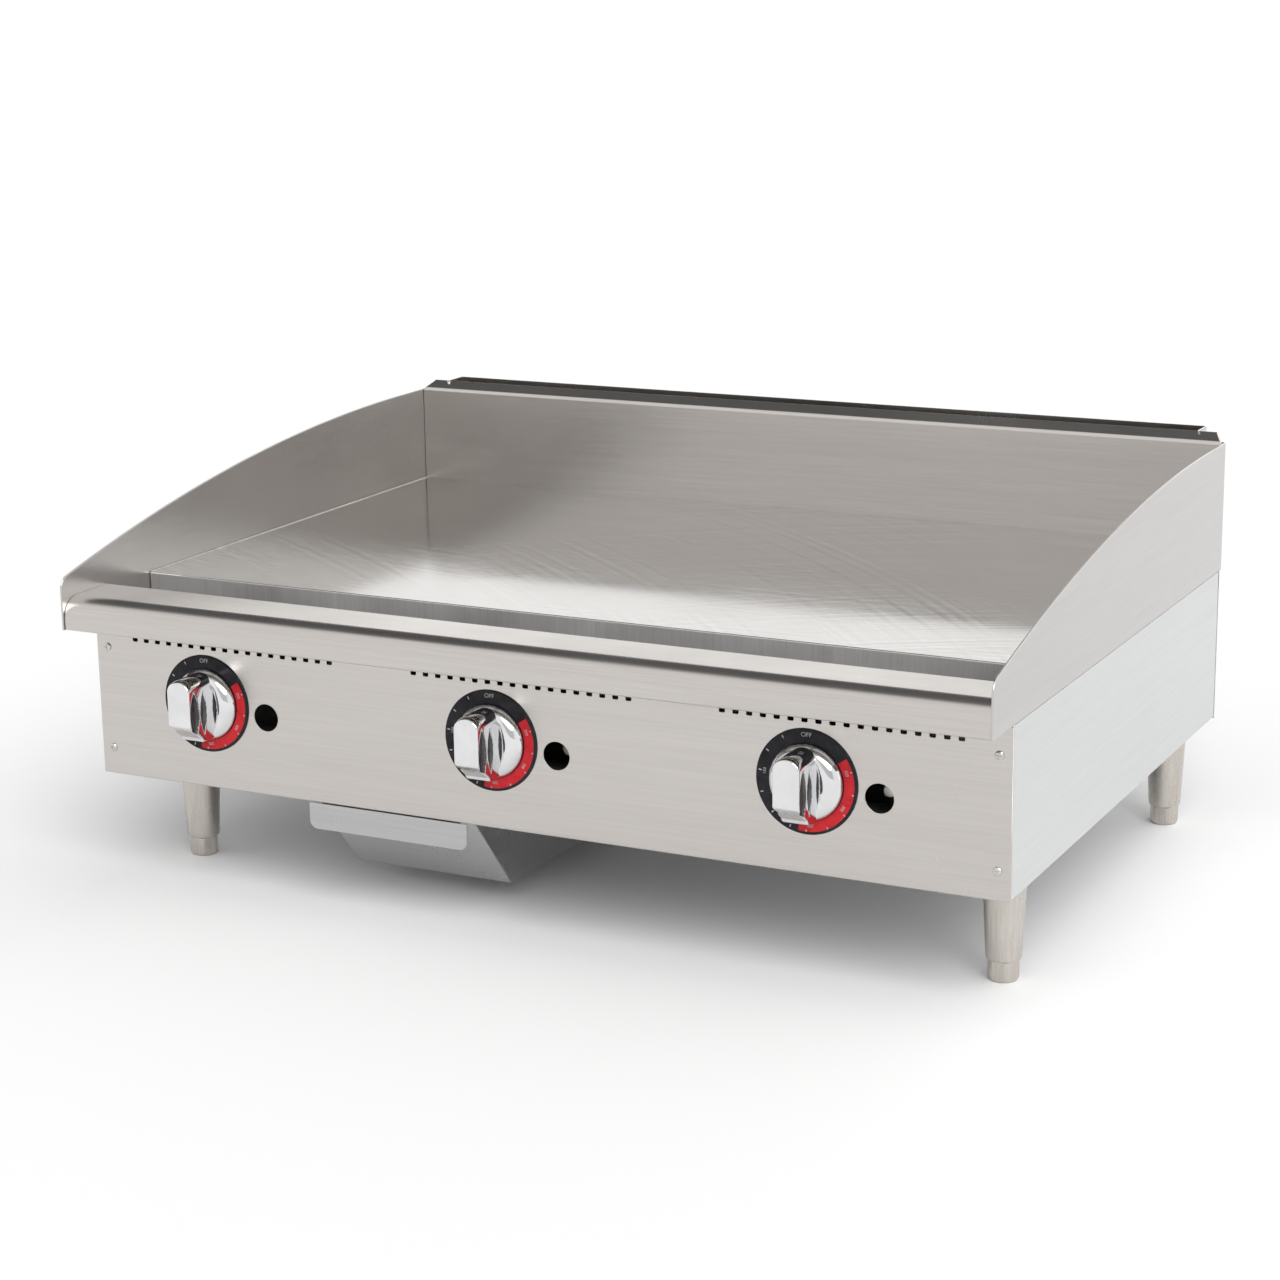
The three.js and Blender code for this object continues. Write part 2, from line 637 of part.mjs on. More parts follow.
// The tray's front slopes back under it; a flange along each side hangs on a rail.
function greaseTray() {
  const side = [
    [DRAWER_FRONT, DRAWER_TOP],
    [DRAWER_TOE, DRAWER_FLOOR],
    [DRAWER_REAR, DRAWER_FLOOR],
    [DRAWER_REAR, DRAWER_TOP],
  ];
  const wrap = alongX(bentSheet(side, DRAWER_SHEET), DRAWER_LEFT, DRAWER_RIGHT);
  const walls = [DRAWER_LEFT, DRAWER_RIGHT - DRAWER_SHEET].map((x) => alongX(side, x, x + DRAWER_SHEET));
  const flangeFront = 30;
  const flanges = [DRAWER_LEFT - DRAWER_FLANGE, DRAWER_RIGHT - DRAWER_SHEET].map((x) =>
    block(
      [x, x + DRAWER_FLANGE + DRAWER_SHEET],
      [flangeFront, DRAWER_REAR],
      [DRAWER_TOP - DRAWER_SHEET, DRAWER_TOP],
    ),
  );
  return join(wrap, ...walls, ...flanges);
}

// A lip with rounded lower corners, on a tab that reaches back to the tray: the fingers go behind it.
function drawerHandle() {
  const [corner, tabInset] = [8, 10];
  const [left, right, tabTop] = [DRAWER_LEFT, DRAWER_RIGHT, DRAWER_TOP - 0.5];
  const outline = [
    [left, LIP_TOP],
    ...arc([left + corner, LIP_BOTTOM + corner], corner, 180, 270, 4),
    ...arc([right - corner, LIP_BOTTOM + corner], corner, 270, 360, 4),
    [right, LIP_TOP],
  ];
  const tabLevels = [tabTop - DRAWER_SHEET, tabTop];
  const tab = block([left + tabInset, right - tabInset], [0, DRAWER_FRONT - 0.4], tabLevels);
  return join(alongY(outline, 0, DRAWER_SHEET), tab);
}

// A rail that hooks under one flange of the tray; the section is in (x, z), hanging from the pan.
function drawerRail(edge, outward) {
  const ledge = DRAWER_TOP - DRAWER_SHEET - GAP;
  const web = edge + outward * (DRAWER_FLANGE + 0.7);
  const inner = [[web, LEG_HEIGHT - GAP], [web, ledge], [edge + outward * 0.8, ledge]];
  return alongY(bentSheet(outward < 0 ? inner.reverse() : inner, DRAWER_SHEET), 50, DRAWER_REAR + 12);
}

piece("grease_tray", greaseTray(), STAINLESS);
piece("drawer_handle", drawerHandle(), STAINLESS);
piece("drawer_rail_left", drawerRail(DRAWER_LEFT, -1), ALUMINISED);
piece("drawer_rail_right", drawerRail(DRAWER_RIGHT, 1), ALUMINISED);

// ---- Legs ---------------------------------------------------------------------------------------

// A tapered casting with a stud on top and a bore for the foot's stem below.
const LEG_BORE = FOOT_STEM + 1.8;
const LEG_PROFILE = [
  [0, 84],
  [LEG_BORE, 84],
  [LEG_BORE, FOOT_TOP + GAP],
  [14.8, FOOT_TOP + GAP],
  [15.8, FOOT_TOP + 1.5],
  [20, 100],
  [20.5, LEG_HEIGHT - GAP],
  [STUD_RADIUS, LEG_HEIGHT - GAP],
  [STUD_RADIUS, 122],
  [0, 122],
];
const FOOT_PROFILE = [
  [0, 0],
  [12.2, 0],
  [13.4, 1.5],
  [14.2, FOOT_TOP],
  [FOOT_STEM, FOOT_TOP],
  [FOOT_STEM, 80],
  [0, 80],
];

for (const [end, y] of [["front", LEG_FRONT], ["rear", LEG_REAR]]) {
  for (const [side, x] of [["left", -LEG_X], ["right", LEG_X]]) {
    const leg = new THREE.Group();
    leg.position.set(x, y, 0);
    body.add(leg);
    piece(`leg_${end}_${side}`, turnedZ(LEG_PROFILE), CAST_LEG, leg);
    piece(`foot_${end}_${side}`, turnedZ(FOOT_PROFILE, 12), CAST_LEG, leg);
  }
}

export default griddle;
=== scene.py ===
# %% [markdown]
# # A countertop gas griddle
#
# This notebook dresses a finished mechanical model of a gas griddle. The model comes in as a frame of
# named nodes, already in its place, in metres. Each cell builds the fine mesh or the finish of one
# piece around it. Nothing in the frame is moved: a fine piece stands for its node and takes its place.

# %% The frame
import json
import math

import bmesh
import bpy
from mathutils import Matrix, Vector


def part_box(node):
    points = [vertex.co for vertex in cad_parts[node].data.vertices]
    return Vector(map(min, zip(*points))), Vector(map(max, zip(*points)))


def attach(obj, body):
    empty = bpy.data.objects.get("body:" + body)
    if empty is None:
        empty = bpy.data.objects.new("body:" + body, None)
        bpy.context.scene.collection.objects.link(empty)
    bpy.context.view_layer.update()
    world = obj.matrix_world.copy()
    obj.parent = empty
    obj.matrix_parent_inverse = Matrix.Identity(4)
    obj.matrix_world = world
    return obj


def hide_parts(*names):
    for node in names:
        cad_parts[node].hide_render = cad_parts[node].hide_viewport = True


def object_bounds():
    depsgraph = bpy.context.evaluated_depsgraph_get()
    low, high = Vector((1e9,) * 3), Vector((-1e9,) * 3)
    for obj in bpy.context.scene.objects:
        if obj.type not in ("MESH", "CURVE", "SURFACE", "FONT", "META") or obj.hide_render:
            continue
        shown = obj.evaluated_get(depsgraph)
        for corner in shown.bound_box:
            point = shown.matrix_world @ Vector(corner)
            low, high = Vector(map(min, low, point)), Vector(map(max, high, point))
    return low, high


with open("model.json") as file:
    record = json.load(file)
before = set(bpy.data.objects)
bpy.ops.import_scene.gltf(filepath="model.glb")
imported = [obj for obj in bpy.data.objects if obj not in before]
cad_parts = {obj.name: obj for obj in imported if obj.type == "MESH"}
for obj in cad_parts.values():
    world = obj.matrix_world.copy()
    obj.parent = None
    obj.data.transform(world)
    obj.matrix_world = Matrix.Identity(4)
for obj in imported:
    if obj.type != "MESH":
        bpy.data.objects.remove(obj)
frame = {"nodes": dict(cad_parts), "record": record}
cad_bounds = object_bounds()
bodies = frame["record"]["behaviour"]["bodies"]
body_of = {node: body for body, members in bodies.items() for node in members}
low, high = cad_bounds
print("frame:", len(frame["nodes"]), "nodes,", [round(c, 4) for c in high - low], "m")

MM = 0.001
SIDES = ("left", "right")
ZONES = ("left", "middle", "right")

# %% [markdown]
# ## Camera, floor and light
#
# What steel looks like is mostly what it mirrors. A long lens a little above the front right corner
# keeps the sides nearly parallel. The surroundings are white, so that flat sheet looks bright, and a
# little brighter behind. A dark area high up at the left rear draws the dark line along the rounded
# nose of the ledge, and a dimmer patch in front is mirrored where three sheets meet. Seen directly,
# the surroundings are plain white. One broad lamp adds the soft shadow.

# %% Camera
azimuth, elevation, roll = (math.radians(angle) for angle in (26.76, 14.2, -0.79))
aim = (low + high) / 2 + Vector((-0.026, -0.0104, 0.0152))
distance = 2.766
back = Vector(
    (
        math.sin(azimuth) * math.cos(elevation),
        -math.cos(azimuth) * math.cos(elevation),
        math.sin(elevation),
    )
)
camera = bpy.data.objects.new("camera", bpy.data.cameras.new("camera"))
camera.data.sensor_width = 36
camera.data.lens = 79.9
camera.matrix_world = (
    Matrix.Translation(aim + distance * back)
    @ back.to_track_quat("Z", "Y").to_matrix().to_4x4()
    @ Matrix.Rotation(roll, 4, "Z")
)
bpy.context.scene.collection.objects.link(camera)
bpy.context.scene.camera = camera
bpy.context.scene.view_settings.view_transform = "Standard"
print("camera:", [round(c, 3) for c in camera.matrix_world.translation])

# %% Floor
floor_mesh = bpy.data.meshes.new("floor")
FLOOR = 60.0
floor_mesh.from_pydata(
    [(-FLOOR, -FLOOR, 0), (FLOOR, -FLOOR, 0), (FLOOR, FLOOR, 0), (-FLOOR, FLOOR, 0)], [], [(0, 1, 2, 3)]
)
floor = bpy.data.objects.new("floor", floor_mesh)
bpy.context.scene.collection.objects.link(floor)
paper = bpy.data.materials.new("floor_paper")
paper.use_nodes = True
paper.node_tree.nodes["Principled BSDF"].inputs["Base Color"].default_value = (0.76, 0.76, 0.76, 1)
paper.node_tree.nodes["Principled BSDF"].inputs["Roughness"].default_value = 0.9
paper.node_tree.nodes["Principled BSDF"].inputs["Specular IOR Level"].default_value = 0.1
floor_mesh.materials.append(paper)

# %% Surroundings
world = bpy.data.worlds.new("studio")
bpy.context.scene.world = world
world.use_nodes = True
sky, sky_links = world.node_tree.nodes, world.node_tree.links
direction = sky.new("ShaderNodeTexCoord")
parts_of = sky.new("ShaderNodeSeparateXYZ")
sky_links.new(direction.outputs["Generated"], parts_of.inputs["Vector"])


def ramp_between(value, start, end):
    """0 below start and 1 above end, with a soft step between."""
    node = sky.new("ShaderNodeMapRange")
    node.interpolation_type = "SMOOTHSTEP"
    node.inputs["From Min"].default_value = start
    node.inputs["From Max"].default_value = end
    sky_links.new(value, node.inputs["Value"])
    return node.outputs["Result"]


def sky_mix(factor, under, over):
    """One sky value laid over another."""
    node = sky.new("ShaderNodeMix")
    sky_links.new(factor, node.inputs["Factor"])
    for name, value in (("A", under), ("B", over)):
        if isinstance(value, bpy.types.NodeSocket):
            sky_links.new(value, node.inputs[name])
        else:
            node.inputs[name].default_value = value
    return node.outputs["Result"]


def both_of(a, b):
    node = sky.new("ShaderNodeMath")
    node.operation = "MULTIPLY"
    sky_links.new(a, node.inputs[0])
    sky_links.new(b, node.inputs[1])
    return node.outputs["Value"]


def one_minus(value):
    return sky_mix(value, 1.0, 0.0)


def towards(aimed_at):
    """The cosine between a sky direction and one aimed at."""
    node = sky.new("ShaderNodeVectorMath")
    node.operation = "DOT_PRODUCT"
    sky_links.new(direction.outputs["Generated"], node.inputs[0])
    node.inputs[1].default_value = aimed_at
    return node.outputs["Value"]


BACKDROP_GLOW, CEILING_DARK, ROOM_DIM = 1.38, 0.11, 0.6
TOWARDS_ROOM = (0.436, -0.866, 0.245)
behind = ramp_between(parts_of.outputs["Y"], -0.2, 0.05)
high_up = ramp_between(parts_of.outputs["Z"], 0.34, 0.46)
on_the_left = one_minus(ramp_between(parts_of.outputs["X"], -0.16, 0.1))
backdrop = sky_mix(behind, 1.0, BACKDROP_GLOW)
room_in_front = ramp_between(towards(TOWARDS_ROOM), 0.88, 0.97)
over_the_left_rear = both_of(both_of(behind, high_up), on_the_left)
with_dark_ceiling = sky_mix(over_the_left_rear, backdrop, CEILING_DARK)
brightness = sky_mix(room_in_front, with_dark_ceiling, ROOM_DIM)
seen_directly = sky.new("ShaderNodeLightPath").outputs["Is Camera Ray"]
sky["Background"].inputs["Color"].default_value = (1, 1, 1, 1)
sky_links.new(sky_mix(seen_directly, brightness, 1.0), sky["Background"].inputs["Strength"])


# %% Lamps
sun = bpy.data.lights.new("overhead_light", "SUN")
sun.energy = 2.1
sun.angle = math.radians(42)
sun_holder = bpy.data.objects.new("overhead_light", sun)
sun_holder.matrix_world = Vector((0.5, -0.62, 0.68)).to_track_quat("Z", "Y").to_matrix().to_4x4()
bpy.context.scene.collection.objects.link(sun_holder)

# %% [markdown]
# ## Effects shared by several finishes
#
# Brushed sheet, ground plate and cast metal all owe their look to fine marks that run one way.
# An effect that several finishes use is a node group, built once, and each finish sets its own
# values on it. Object coordinates are used because every mesh here is modelled in place, in metres,
# so one scale holds for all pieces.


# %% A helper that makes a node group
def node_group(name, inputs, outputs):
    """A shader group with named float or vector inputs and float outputs."""
    group = bpy.data.node_groups.new(name, "ShaderNodeTree")
    for socket, value in inputs.items():
        kind = "NodeSocketVector" if isinstance(value, tuple) else "NodeSocketFloat"
        made = group.interface.new_socket(socket, in_out="INPUT", socket_type=kind)
        made.default_value = value
    for socket in outputs:
        group.interface.new_socket(socket, in_out="OUTPUT", socket_type="NodeSocketFloat")
    ways = group.nodes.new("NodeGroupInput"), group.nodes.new("NodeGroupOutput")
    return group, ways[0].outputs, ways[1].inputs


def math_node(tree, operation, *values):
    """A Math node whose inputs are sockets or plain numbers."""
    node = tree.nodes.new("ShaderNodeMath")
    node.operation = operation
    for socket, value in zip(node.inputs, values):
        if isinstance(value, bpy.types.NodeSocket):
            tree.links.new(value, socket)
        else:
            socket.default_value = value
    return node.outputs["Value"]


def noise_node(tree, vector, scale, detail=3.0, roughness=0.6):
    """Noise over a vector; returns its value socket."""
    node = tree.nodes.new("ShaderNodeTexNoise")
    tree.links.new(vector, node.inputs["Vector"])
    for name, value in (("Scale", scale), ("Detail", detail), ("Roughness", roughness)):
        if isinstance(value, bpy.types.NodeSocket):
            tree.links.new(value, node.inputs[name])
        else:
            node.inputs[name].default_value = value
    return node.outputs["Fac"]


def scaled(tree, vector, factors):
    """The vector, stretched by three factors, each along its own axis."""
    node = tree.nodes.new("ShaderNodeVectorMath")
    node.operation = "MULTIPLY"
    tree.links.new(vector, node.inputs[0])
    if isinstance(factors, bpy.types.NodeSocket):
        tree.links.new(factors, node.inputs[1])
    else:
        node.inputs[1].default_value = factors
    return node.outputs["Vector"]


def object_place(tree):
    """The point on the surface, in the object's own metres."""
    return tree.nodes.new("ShaderNodeTexCoord").outputs["Object"]


# %% [markdown]
# **Brushing** is noise pulled out into streaks: the stretch is small along the grain and large
# across it. Two widths of streak are added, because an abrasive belt leaves hair lines and also
# wider, fainter bands.

# %% Brushing
brushing, taken, given = node_group(
    "brushing", {"Stretch": (4.0, 300.0, 300.0), "Fineness": 1.0}, ("Shade", "Height")
)
pulled = scaled(brushing, object_place(brushing), taken["Stretch"])
hair = noise_node(brushing, pulled, math_node(brushing, "MULTIPLY", taken["Fineness"], 2.2), 2.0)
bands = noise_node(brushing, pulled, math_node(brushing, "MULTIPLY", taken["Fineness"], 0.35), 2.0)
both = math_node(
    brushing, "ADD", math_node(brushing, "MULTIPLY", hair, 0.65), math_node(brushing, "MULTIPLY", bands, 0.35)
)
brushing.links.new(both, given["Shade"])
brushing.links.new(hair, given["Height"])
print("group:", brushing.name)

# %% [markdown]
# **Handling** is what hands and cloths leave on metal: broad soft patches that are a little duller,
# with a finer mottle inside them. It only ever changes colour and roughness slightly.

# %% Handling marks
handling, taken, given = node_group("handling", {"Size": 5.0, "Amount": 1.0}, ("Mask",))
place = object_place(handling)
patches = noise_node(handling, place, taken["Size"], 2.0)
mottle = noise_node(handling, place, math_node(handling, "MULTIPLY", taken["Size"], 9.0), 5.0, 0.65)
mixed = math_node(
    handling,
    "ADD",
    math_node(handling, "MULTIPLY", patches, 0.75),
    math_node(handling, "MULTIPLY", mottle, 0.25),
)
centred = math_node(handling, "SUBTRACT", mixed, 0.5)
handling.links.new(
    math_node(handling, "ADD", math_node(handling, "MULTIPLY", centred, taken["Amount"]), 0.5), given["Mask"]
)

# %% [markdown]
# **Grinding** is the mark of a disc on a thick plate: each pass leaves a bundle of long arcs about
# one far centre. The distance to that centre, fed to a noise that varies quickly, draws rings; a
# broad noise lets each bundle come and go.

# %% Grinding arcs
grinding, taken, given = node_group(
    "grinding", {"Centre": (0.0, 0.0, 0.0), "Pitch": 420.0, "Patch": 3.0}, ("Arcs",)
)
place = object_place(grinding)
reach = grinding.nodes.new("ShaderNodeVectorMath")
reach.operation = "DISTANCE"
grinding.links.new(place, reach.inputs[0])
grinding.links.new(taken["Centre"], reach.inputs[1])
rings = grinding.nodes.new("ShaderNodeTexNoise")
rings.noise_dimensions = "1D"
rings.inputs["Scale"].default_value = 1.0
rings.inputs["Detail"].default_value = 5.0
grinding.links.new(
    math_node(grinding, "MULTIPLY", reach.outputs["Value"], taken["Pitch"]), rings.inputs["W"]
)
patch = noise_node(grinding, place, taken["Patch"], 2.0)
seen = math_node(grinding, "MULTIPLY", math_node(grinding, "SUBTRACT", patch, 0.38), 3.2)
centred = math_node(grinding, "SUBTRACT", rings.outputs["Fac"], 0.5)
shown = math_node(grinding, "MULTIPLY", centred, math_node(grinding, "MAXIMUM", seen, 0.0))
grinding.links.new(math_node(grinding, "ADD", shown, 0.5), given["Arcs"])


# %% [markdown]
# ## Finishes
#
# Each finish is one material: a Principled shader whose plain numbers sit on its own sockets, with
# groups feeding colour, roughness and bump. The helper below lays the common wiring, so that a
# finish reads as a short list of its values.


# %% A helper for metal finishes
def finish(name, colour, metallic, roughness):
    """A new material; returns it with its tree and its shader."""
    material = bpy.data.materials.new(name)
    material.use_nodes = True
    shader = material.node_tree.nodes["Principled BSDF"]
    shader.inputs["Base Color"].default_value = (*colour, 1)
    shader.inputs["Metallic"].default_value = metallic
    shader.inputs["Roughness"].default_value = roughness
    material.diffuse_color = (*colour, 1)
    return material, material.node_tree, shader


def use_group(tree, group, **values):
    """A group placed in a material with its own values."""
    node = tree.nodes.new("ShaderNodeGroup")
    node.node_tree = group
    for name, value in values.items():
        node.inputs[name.replace("_", " ")].default_value = value
    return node.outputs


def vary_colour(tree, shader, mask, darker, lighter, start=0.3, end=0.7):
    """The base colour runs from darker to lighter as the mask goes from start to end."""
    amount = tree.nodes.new("ShaderNodeMapRange")
    amount.inputs["From Min"].default_value = start
    amount.inputs["From Max"].default_value = end
    tree.links.new(mask, amount.inputs["Value"])
    colours = tree.nodes.new("ShaderNodeMix")
    colours.data_type = "RGBA"
    colours.inputs["A"].default_value = (*darker, 1)
    colours.inputs["B"].default_value = (*lighter, 1)
    tree.links.new(amount.outputs["Result"], colours.inputs["Factor"])
    tree.links.new(colours.outputs["Result"], shader.inputs["Base Color"])
    return colours


def vary_roughness(tree, shader, mask, least, most):
    """Roughness runs from least to most as the mask goes from 0.3 to 0.7."""
    amount = tree.nodes.new("ShaderNodeMapRange")
    amount.inputs["From Min"].default_value = 0.3
    amount.inputs["From Max"].default_value = 0.7
    amount.inputs["To Min"].default_value = least
    amount.inputs["To Max"].default_value = most
    tree.links.new(mask, amount.inputs["Value"])
    tree.links.new(amount.outputs["Result"], shader.inputs["Roughness"])


def add_bump(tree, shader, height, depth, strength=1.0):
    """A bump of that depth in metres."""
    bump = tree.nodes.new("ShaderNodeBump")
    bump.inputs["Distance"].default_value = depth
    bump.inputs["Strength"].default_value = strength
    tree.links.new(height, bump.inputs["Height"])
    tree.links.new(bump.outputs["Normal"], shader.inputs["Normal"])


# %% [markdown]
# **Brushed stainless** is used in two grains: across, for the sheets that face the cook, and along,
# for the sides. The reflection is broad but not blurred out, so roughness stays near a third.


# %% Brushed stainless
def brushed_steel(name, stretch, dark, light, least, most, depth=0.000008):
    material, tree, shader = finish(name, light, 1.0, (least + most) / 2)
    grain = use_group(tree, brushing, Stretch=stretch, Fineness=1.0)
    marks = use_group(tree, handling, Size=3.5, Amount=1.0)
    vary_colour(tree, shader, grain["Shade"], dark, light)
    vary_roughness(tree, shader, marks["Mask"], least, most)
    add_bump(tree, shader, grain["Height"], depth)
    return material


ACROSS = (5.0, 260.0, 260.0)
ALONG = (260.0, 5.0, 260.0)
STEEL_DARK, STEEL_LIGHT = (0.545, 0.515, 0.485), (0.6, 0.57, 0.545)
SIDE_DARK, SIDE_LIGHT = (0.635, 0.645, 0.645), (0.685, 0.695, 0.695)
SPLASH_DARK, SPLASH_LIGHT = (0.53, 0.515, 0.5), (0.585, 0.57, 0.555)
steel_across = brushed_steel("stainless_grain_across", ACROSS, STEEL_DARK, STEEL_LIGHT, 0.2, 0.28)
steel_along = brushed_steel("stainless_grain_along", ALONG, SIDE_DARK, SIDE_LIGHT, 0.26, 0.36)
steel_splash = brushed_steel("stainless_splash", ALONG, SPLASH_DARK, SPLASH_LIGHT, 0.2, 0.28)
steel_drawer = brushed_steel("stainless_drawer", ACROSS, (0.46, 0.455, 0.46), (0.52, 0.515, 0.52), 0.24, 0.34)
MOTTLED = (900.0, 900.0, 900.0)
steel_screw = brushed_steel("stainless_screw", MOTTLED, (0.5, 0.49, 0.46), (0.7, 0.69, 0.66), 0.18, 0.3)

# %% [markdown]
# **The plate** is ground and polished until it mirrors the splashes. Three bundles of arcs about
# different centres cross on it, and each leaves a trace in the colour, in the roughness and, very
# shallow, in the surface.

# %% Ground plate
plate_steel, tree, shader = finish("ground_plate", (0.52, 0.51, 0.495), 1.0, 0.1)
bundles = [
    use_group(tree, grinding, Centre=centre, Pitch=pitch, Patch=patch_size)["Arcs"]
    for centre, pitch, patch_size in (
        ((-1.3, -1.5, 0.285), 150.0, 3.2),
        ((0.9, -1.2, 0.285), 125.0, 2.6),
        ((0.15, 2.2, 0.285), 175.0, 3.8),
    )
]
arcs = math_node(
    tree, "DIVIDE", math_node(tree, "ADD", math_node(tree, "ADD", bundles[0], bundles[1]), bundles[2]), 3.0
)
cloth = use_group(tree, handling, Size=4.0, Amount=1.2)["Mask"]
vary_colour(tree, shader, arcs, (0.36, 0.35, 0.335), (0.56, 0.55, 0.53), 0.4, 0.6)
vary_roughness(tree, shader, math_node(tree, "ADD", math_node(tree, "MULTIPLY", arcs, 0.5),
               math_node(tree, "MULTIPLY", cloth, 0.5)), 0.05, 0.17)
add_bump(tree, shader, arcs, 0.00012)

# %% [markdown]
# **The edge of the plate** was sawn and only deburred, so it scatters light and stays mid grey where
# the polished top would be a mirror. It has its own material, on the plate's second slot.

# %% Sawn edge
plate_edge, tree, shader = finish("plate_edge", (0.6, 0.59, 0.57), 1.0, 0.5)
saw_lines = use_group(tree, brushing, Stretch=(220.0, 220.0, 6.0), Fineness=1.0)
vary_colour(tree, shader, saw_lines["Shade"], (0.46, 0.45, 0.445), (0.56, 0.55, 0.54))
vary_roughness(tree, shader, use_group(tree, handling, Size=11.0, Amount=1.2)["Mask"], 0.5, 0.66)
add_bump(tree, shader, saw_lines["Height"], 0.00004)

# %% [markdown]
# **Aluminised sheet** covers what the cook does not see. It is dull and pale, with a faint
# crystal pattern: cells of a Voronoi texture that differ a little in shade.

# %% Aluminised sheet
aluminised, tree, shader = finish("aluminised_sheet", (0.50, 0.505, 0.51), 1.0, 0.42)
cells = tree.nodes.new("ShaderNodeTexVoronoi")
cells.inputs["Scale"].default_value = 130.0
tree.links.new(object_place(tree), cells.inputs["Vector"])
crystal = tree.nodes.new("ShaderNodeSeparateColor")
tree.links.new(cells.outputs["Color"], crystal.inputs["Color"])
vary_colour(tree, shader, crystal.outputs["Red"], (0.44, 0.445, 0.45), (0.54, 0.545, 0.55), 0.0, 1.0)
vary_roughness(tree, shader, use_group(tree, handling, Size=14.0, Amount=1.2)["Mask"], 0.36, 0.52)
add_bump(tree, shader, crystal.outputs["Green"], 0.00002)

# %% [markdown]
# **Burner steel** has been lit once or twice at the factory: the tube is straw and blue in patches
# round its ports. The heat tint is a colour ramp over the handling mask.

# %% Burner steel
burner_steel, tree, shader = finish("burner_steel", (0.42, 0.40, 0.37), 1.0, 0.4)
heat = use_group(tree, handling, Size=9.0, Amount=1.6)["Mask"]
tint = tree.nodes.new("ShaderNodeValToRGB")
tint.color_ramp.elements[0].position = 0.32
tint.color_ramp.elements[0].color = (0.30, 0.29, 0.34, 1)
tint.color_ramp.elements[1].position = 0.68
tint.color_ramp.elements[1].color = (0.47, 0.46, 0.44, 1)
straw = tint.color_ramp.elements.new(0.5)
straw.color = (0.46, 0.38, 0.26, 1)
tree.links.new(heat, tint.inputs["Fac"])
tree.links.new(tint.outputs["Color"], shader.inputs["Base Color"])
vary_roughness(tree, shader, heat, 0.34, 0.5)
add_bump(tree, shader, use_group(tree, brushing, Stretch=ALONG, Fineness=1.0)["Height"], 0.00003)

# %% [markdown]
# **Brass**, **chrome**, **enamel**, **black pipe** and **cast legs** need one or two effects each.
# Chrome is nearly a mirror, so its detail is a very shallow waviness. Enamel is a dielectric with a
# clear coat. The pipe keeps its mill scale, and the legs were polished by hand along their length.

# %% Brass and chrome
brass, tree, shader = finish("valve_brass", (0.66, 0.50, 0.26), 1.0, 0.32)
tarnish = use_group(tree, handling, Size=60.0, Amount=1.3)["Mask"]
vary_colour(tree, shader, tarnish, (0.50, 0.36, 0.17), (0.74, 0.60, 0.34))
vary_roughness(tree, shader, tarnish, 0.42, 0.26)
add_bump(tree, shader, noise_node(tree, object_place(tree), 900.0), 0.00006)

valve_nickel, tree, shader = finish("pilot_nickel", (0.60, 0.58, 0.54), 1.0, 0.34)
dull = use_group(tree, handling, Size=80.0, Amount=1.2)["Mask"]
vary_colour(tree, shader, dull, (0.50, 0.48, 0.44), (0.70, 0.68, 0.64))
vary_roughness(tree, shader, dull, 0.28, 0.42)

chrome, tree, shader = finish("knob_chrome", (0.76, 0.76, 0.77), 1.0, 0.05)
polish = use_group(tree, handling, Size=45.0, Amount=1.0)["Mask"]
vary_colour(tree, shader, polish, (0.71, 0.71, 0.72), (0.8, 0.8, 0.81))
vary_roughness(tree, shader, polish, 0.03, 0.09)
add_bump(tree, shader, noise_node(tree, object_place(tree), 160.0, 1.0), 0.00004)

# %% Near-black chrome: painted shade for the knob scoops
# The dark base colour is painted shade for the faces inside the knob scoops, not a finish of the chrome.
scoop_shade_chrome, tree, shader = finish("chrome_painted_scoop_shade", (0.08, 0.08, 0.085), 1.0, 0.16)
polish = use_group(tree, handling, Size=60.0, Amount=1.2)["Mask"]
vary_colour(tree, shader, polish, (0.05, 0.05, 0.055), (0.13, 0.13, 0.135))
vary_roughness(tree, shader, polish, 0.12, 0.24)

# %% Enamel and its printed marks
enamel, tree, shader = finish("dial_enamel", (0.012, 0.012, 0.015), 0.0, 0.2)
dust = use_group(tree, handling, Size=70.0, Amount=1.4)["Mask"]
vary_colour(tree, shader, dust, (0.010, 0.010, 0.013), (0.022, 0.022, 0.026))
vary_roughness(tree, shader, dust, 0.14, 0.28)
shader.inputs["Specular IOR Level"].default_value = 0.14

print_red, tree, shader = finish("print_red", (0.44, 0.012, 0.018), 0.0, 0.3)
ink = use_group(tree, handling, Size=90.0, Amount=1.2)["Mask"]
vary_colour(tree, shader, ink, (0.4, 0.01, 0.016), (0.5, 0.018, 0.024))
vary_roughness(tree, shader, ink, 0.24, 0.36)
shader.inputs["Specular IOR Level"].default_value = 0.2

print_pale, tree, shader = finish("print_pale", (0.34, 0.34, 0.35), 0.0, 0.4)
ink = use_group(tree, handling, Size=120.0, Amount=1.2)["Mask"]
vary_colour(tree, shader, ink, (0.26, 0.26, 0.27), (0.42, 0.42, 0.43))

# %% Black pipe and cast legs
black_pipe, tree, shader = finish("black_pipe", (0.035, 0.034, 0.036), 0.6, 0.5)
scale_marks = use_group(tree, handling, Size=30.0, Amount=1.6)["Mask"]
vary_colour(tree, shader, scale_marks, (0.022, 0.022, 0.024), (0.07, 0.066, 0.062))
vary_roughness(tree, shader, scale_marks, 0.42, 0.62)
add_bump(tree, shader, noise_node(tree, object_place(tree), 420.0, 5.0), 0.00012)

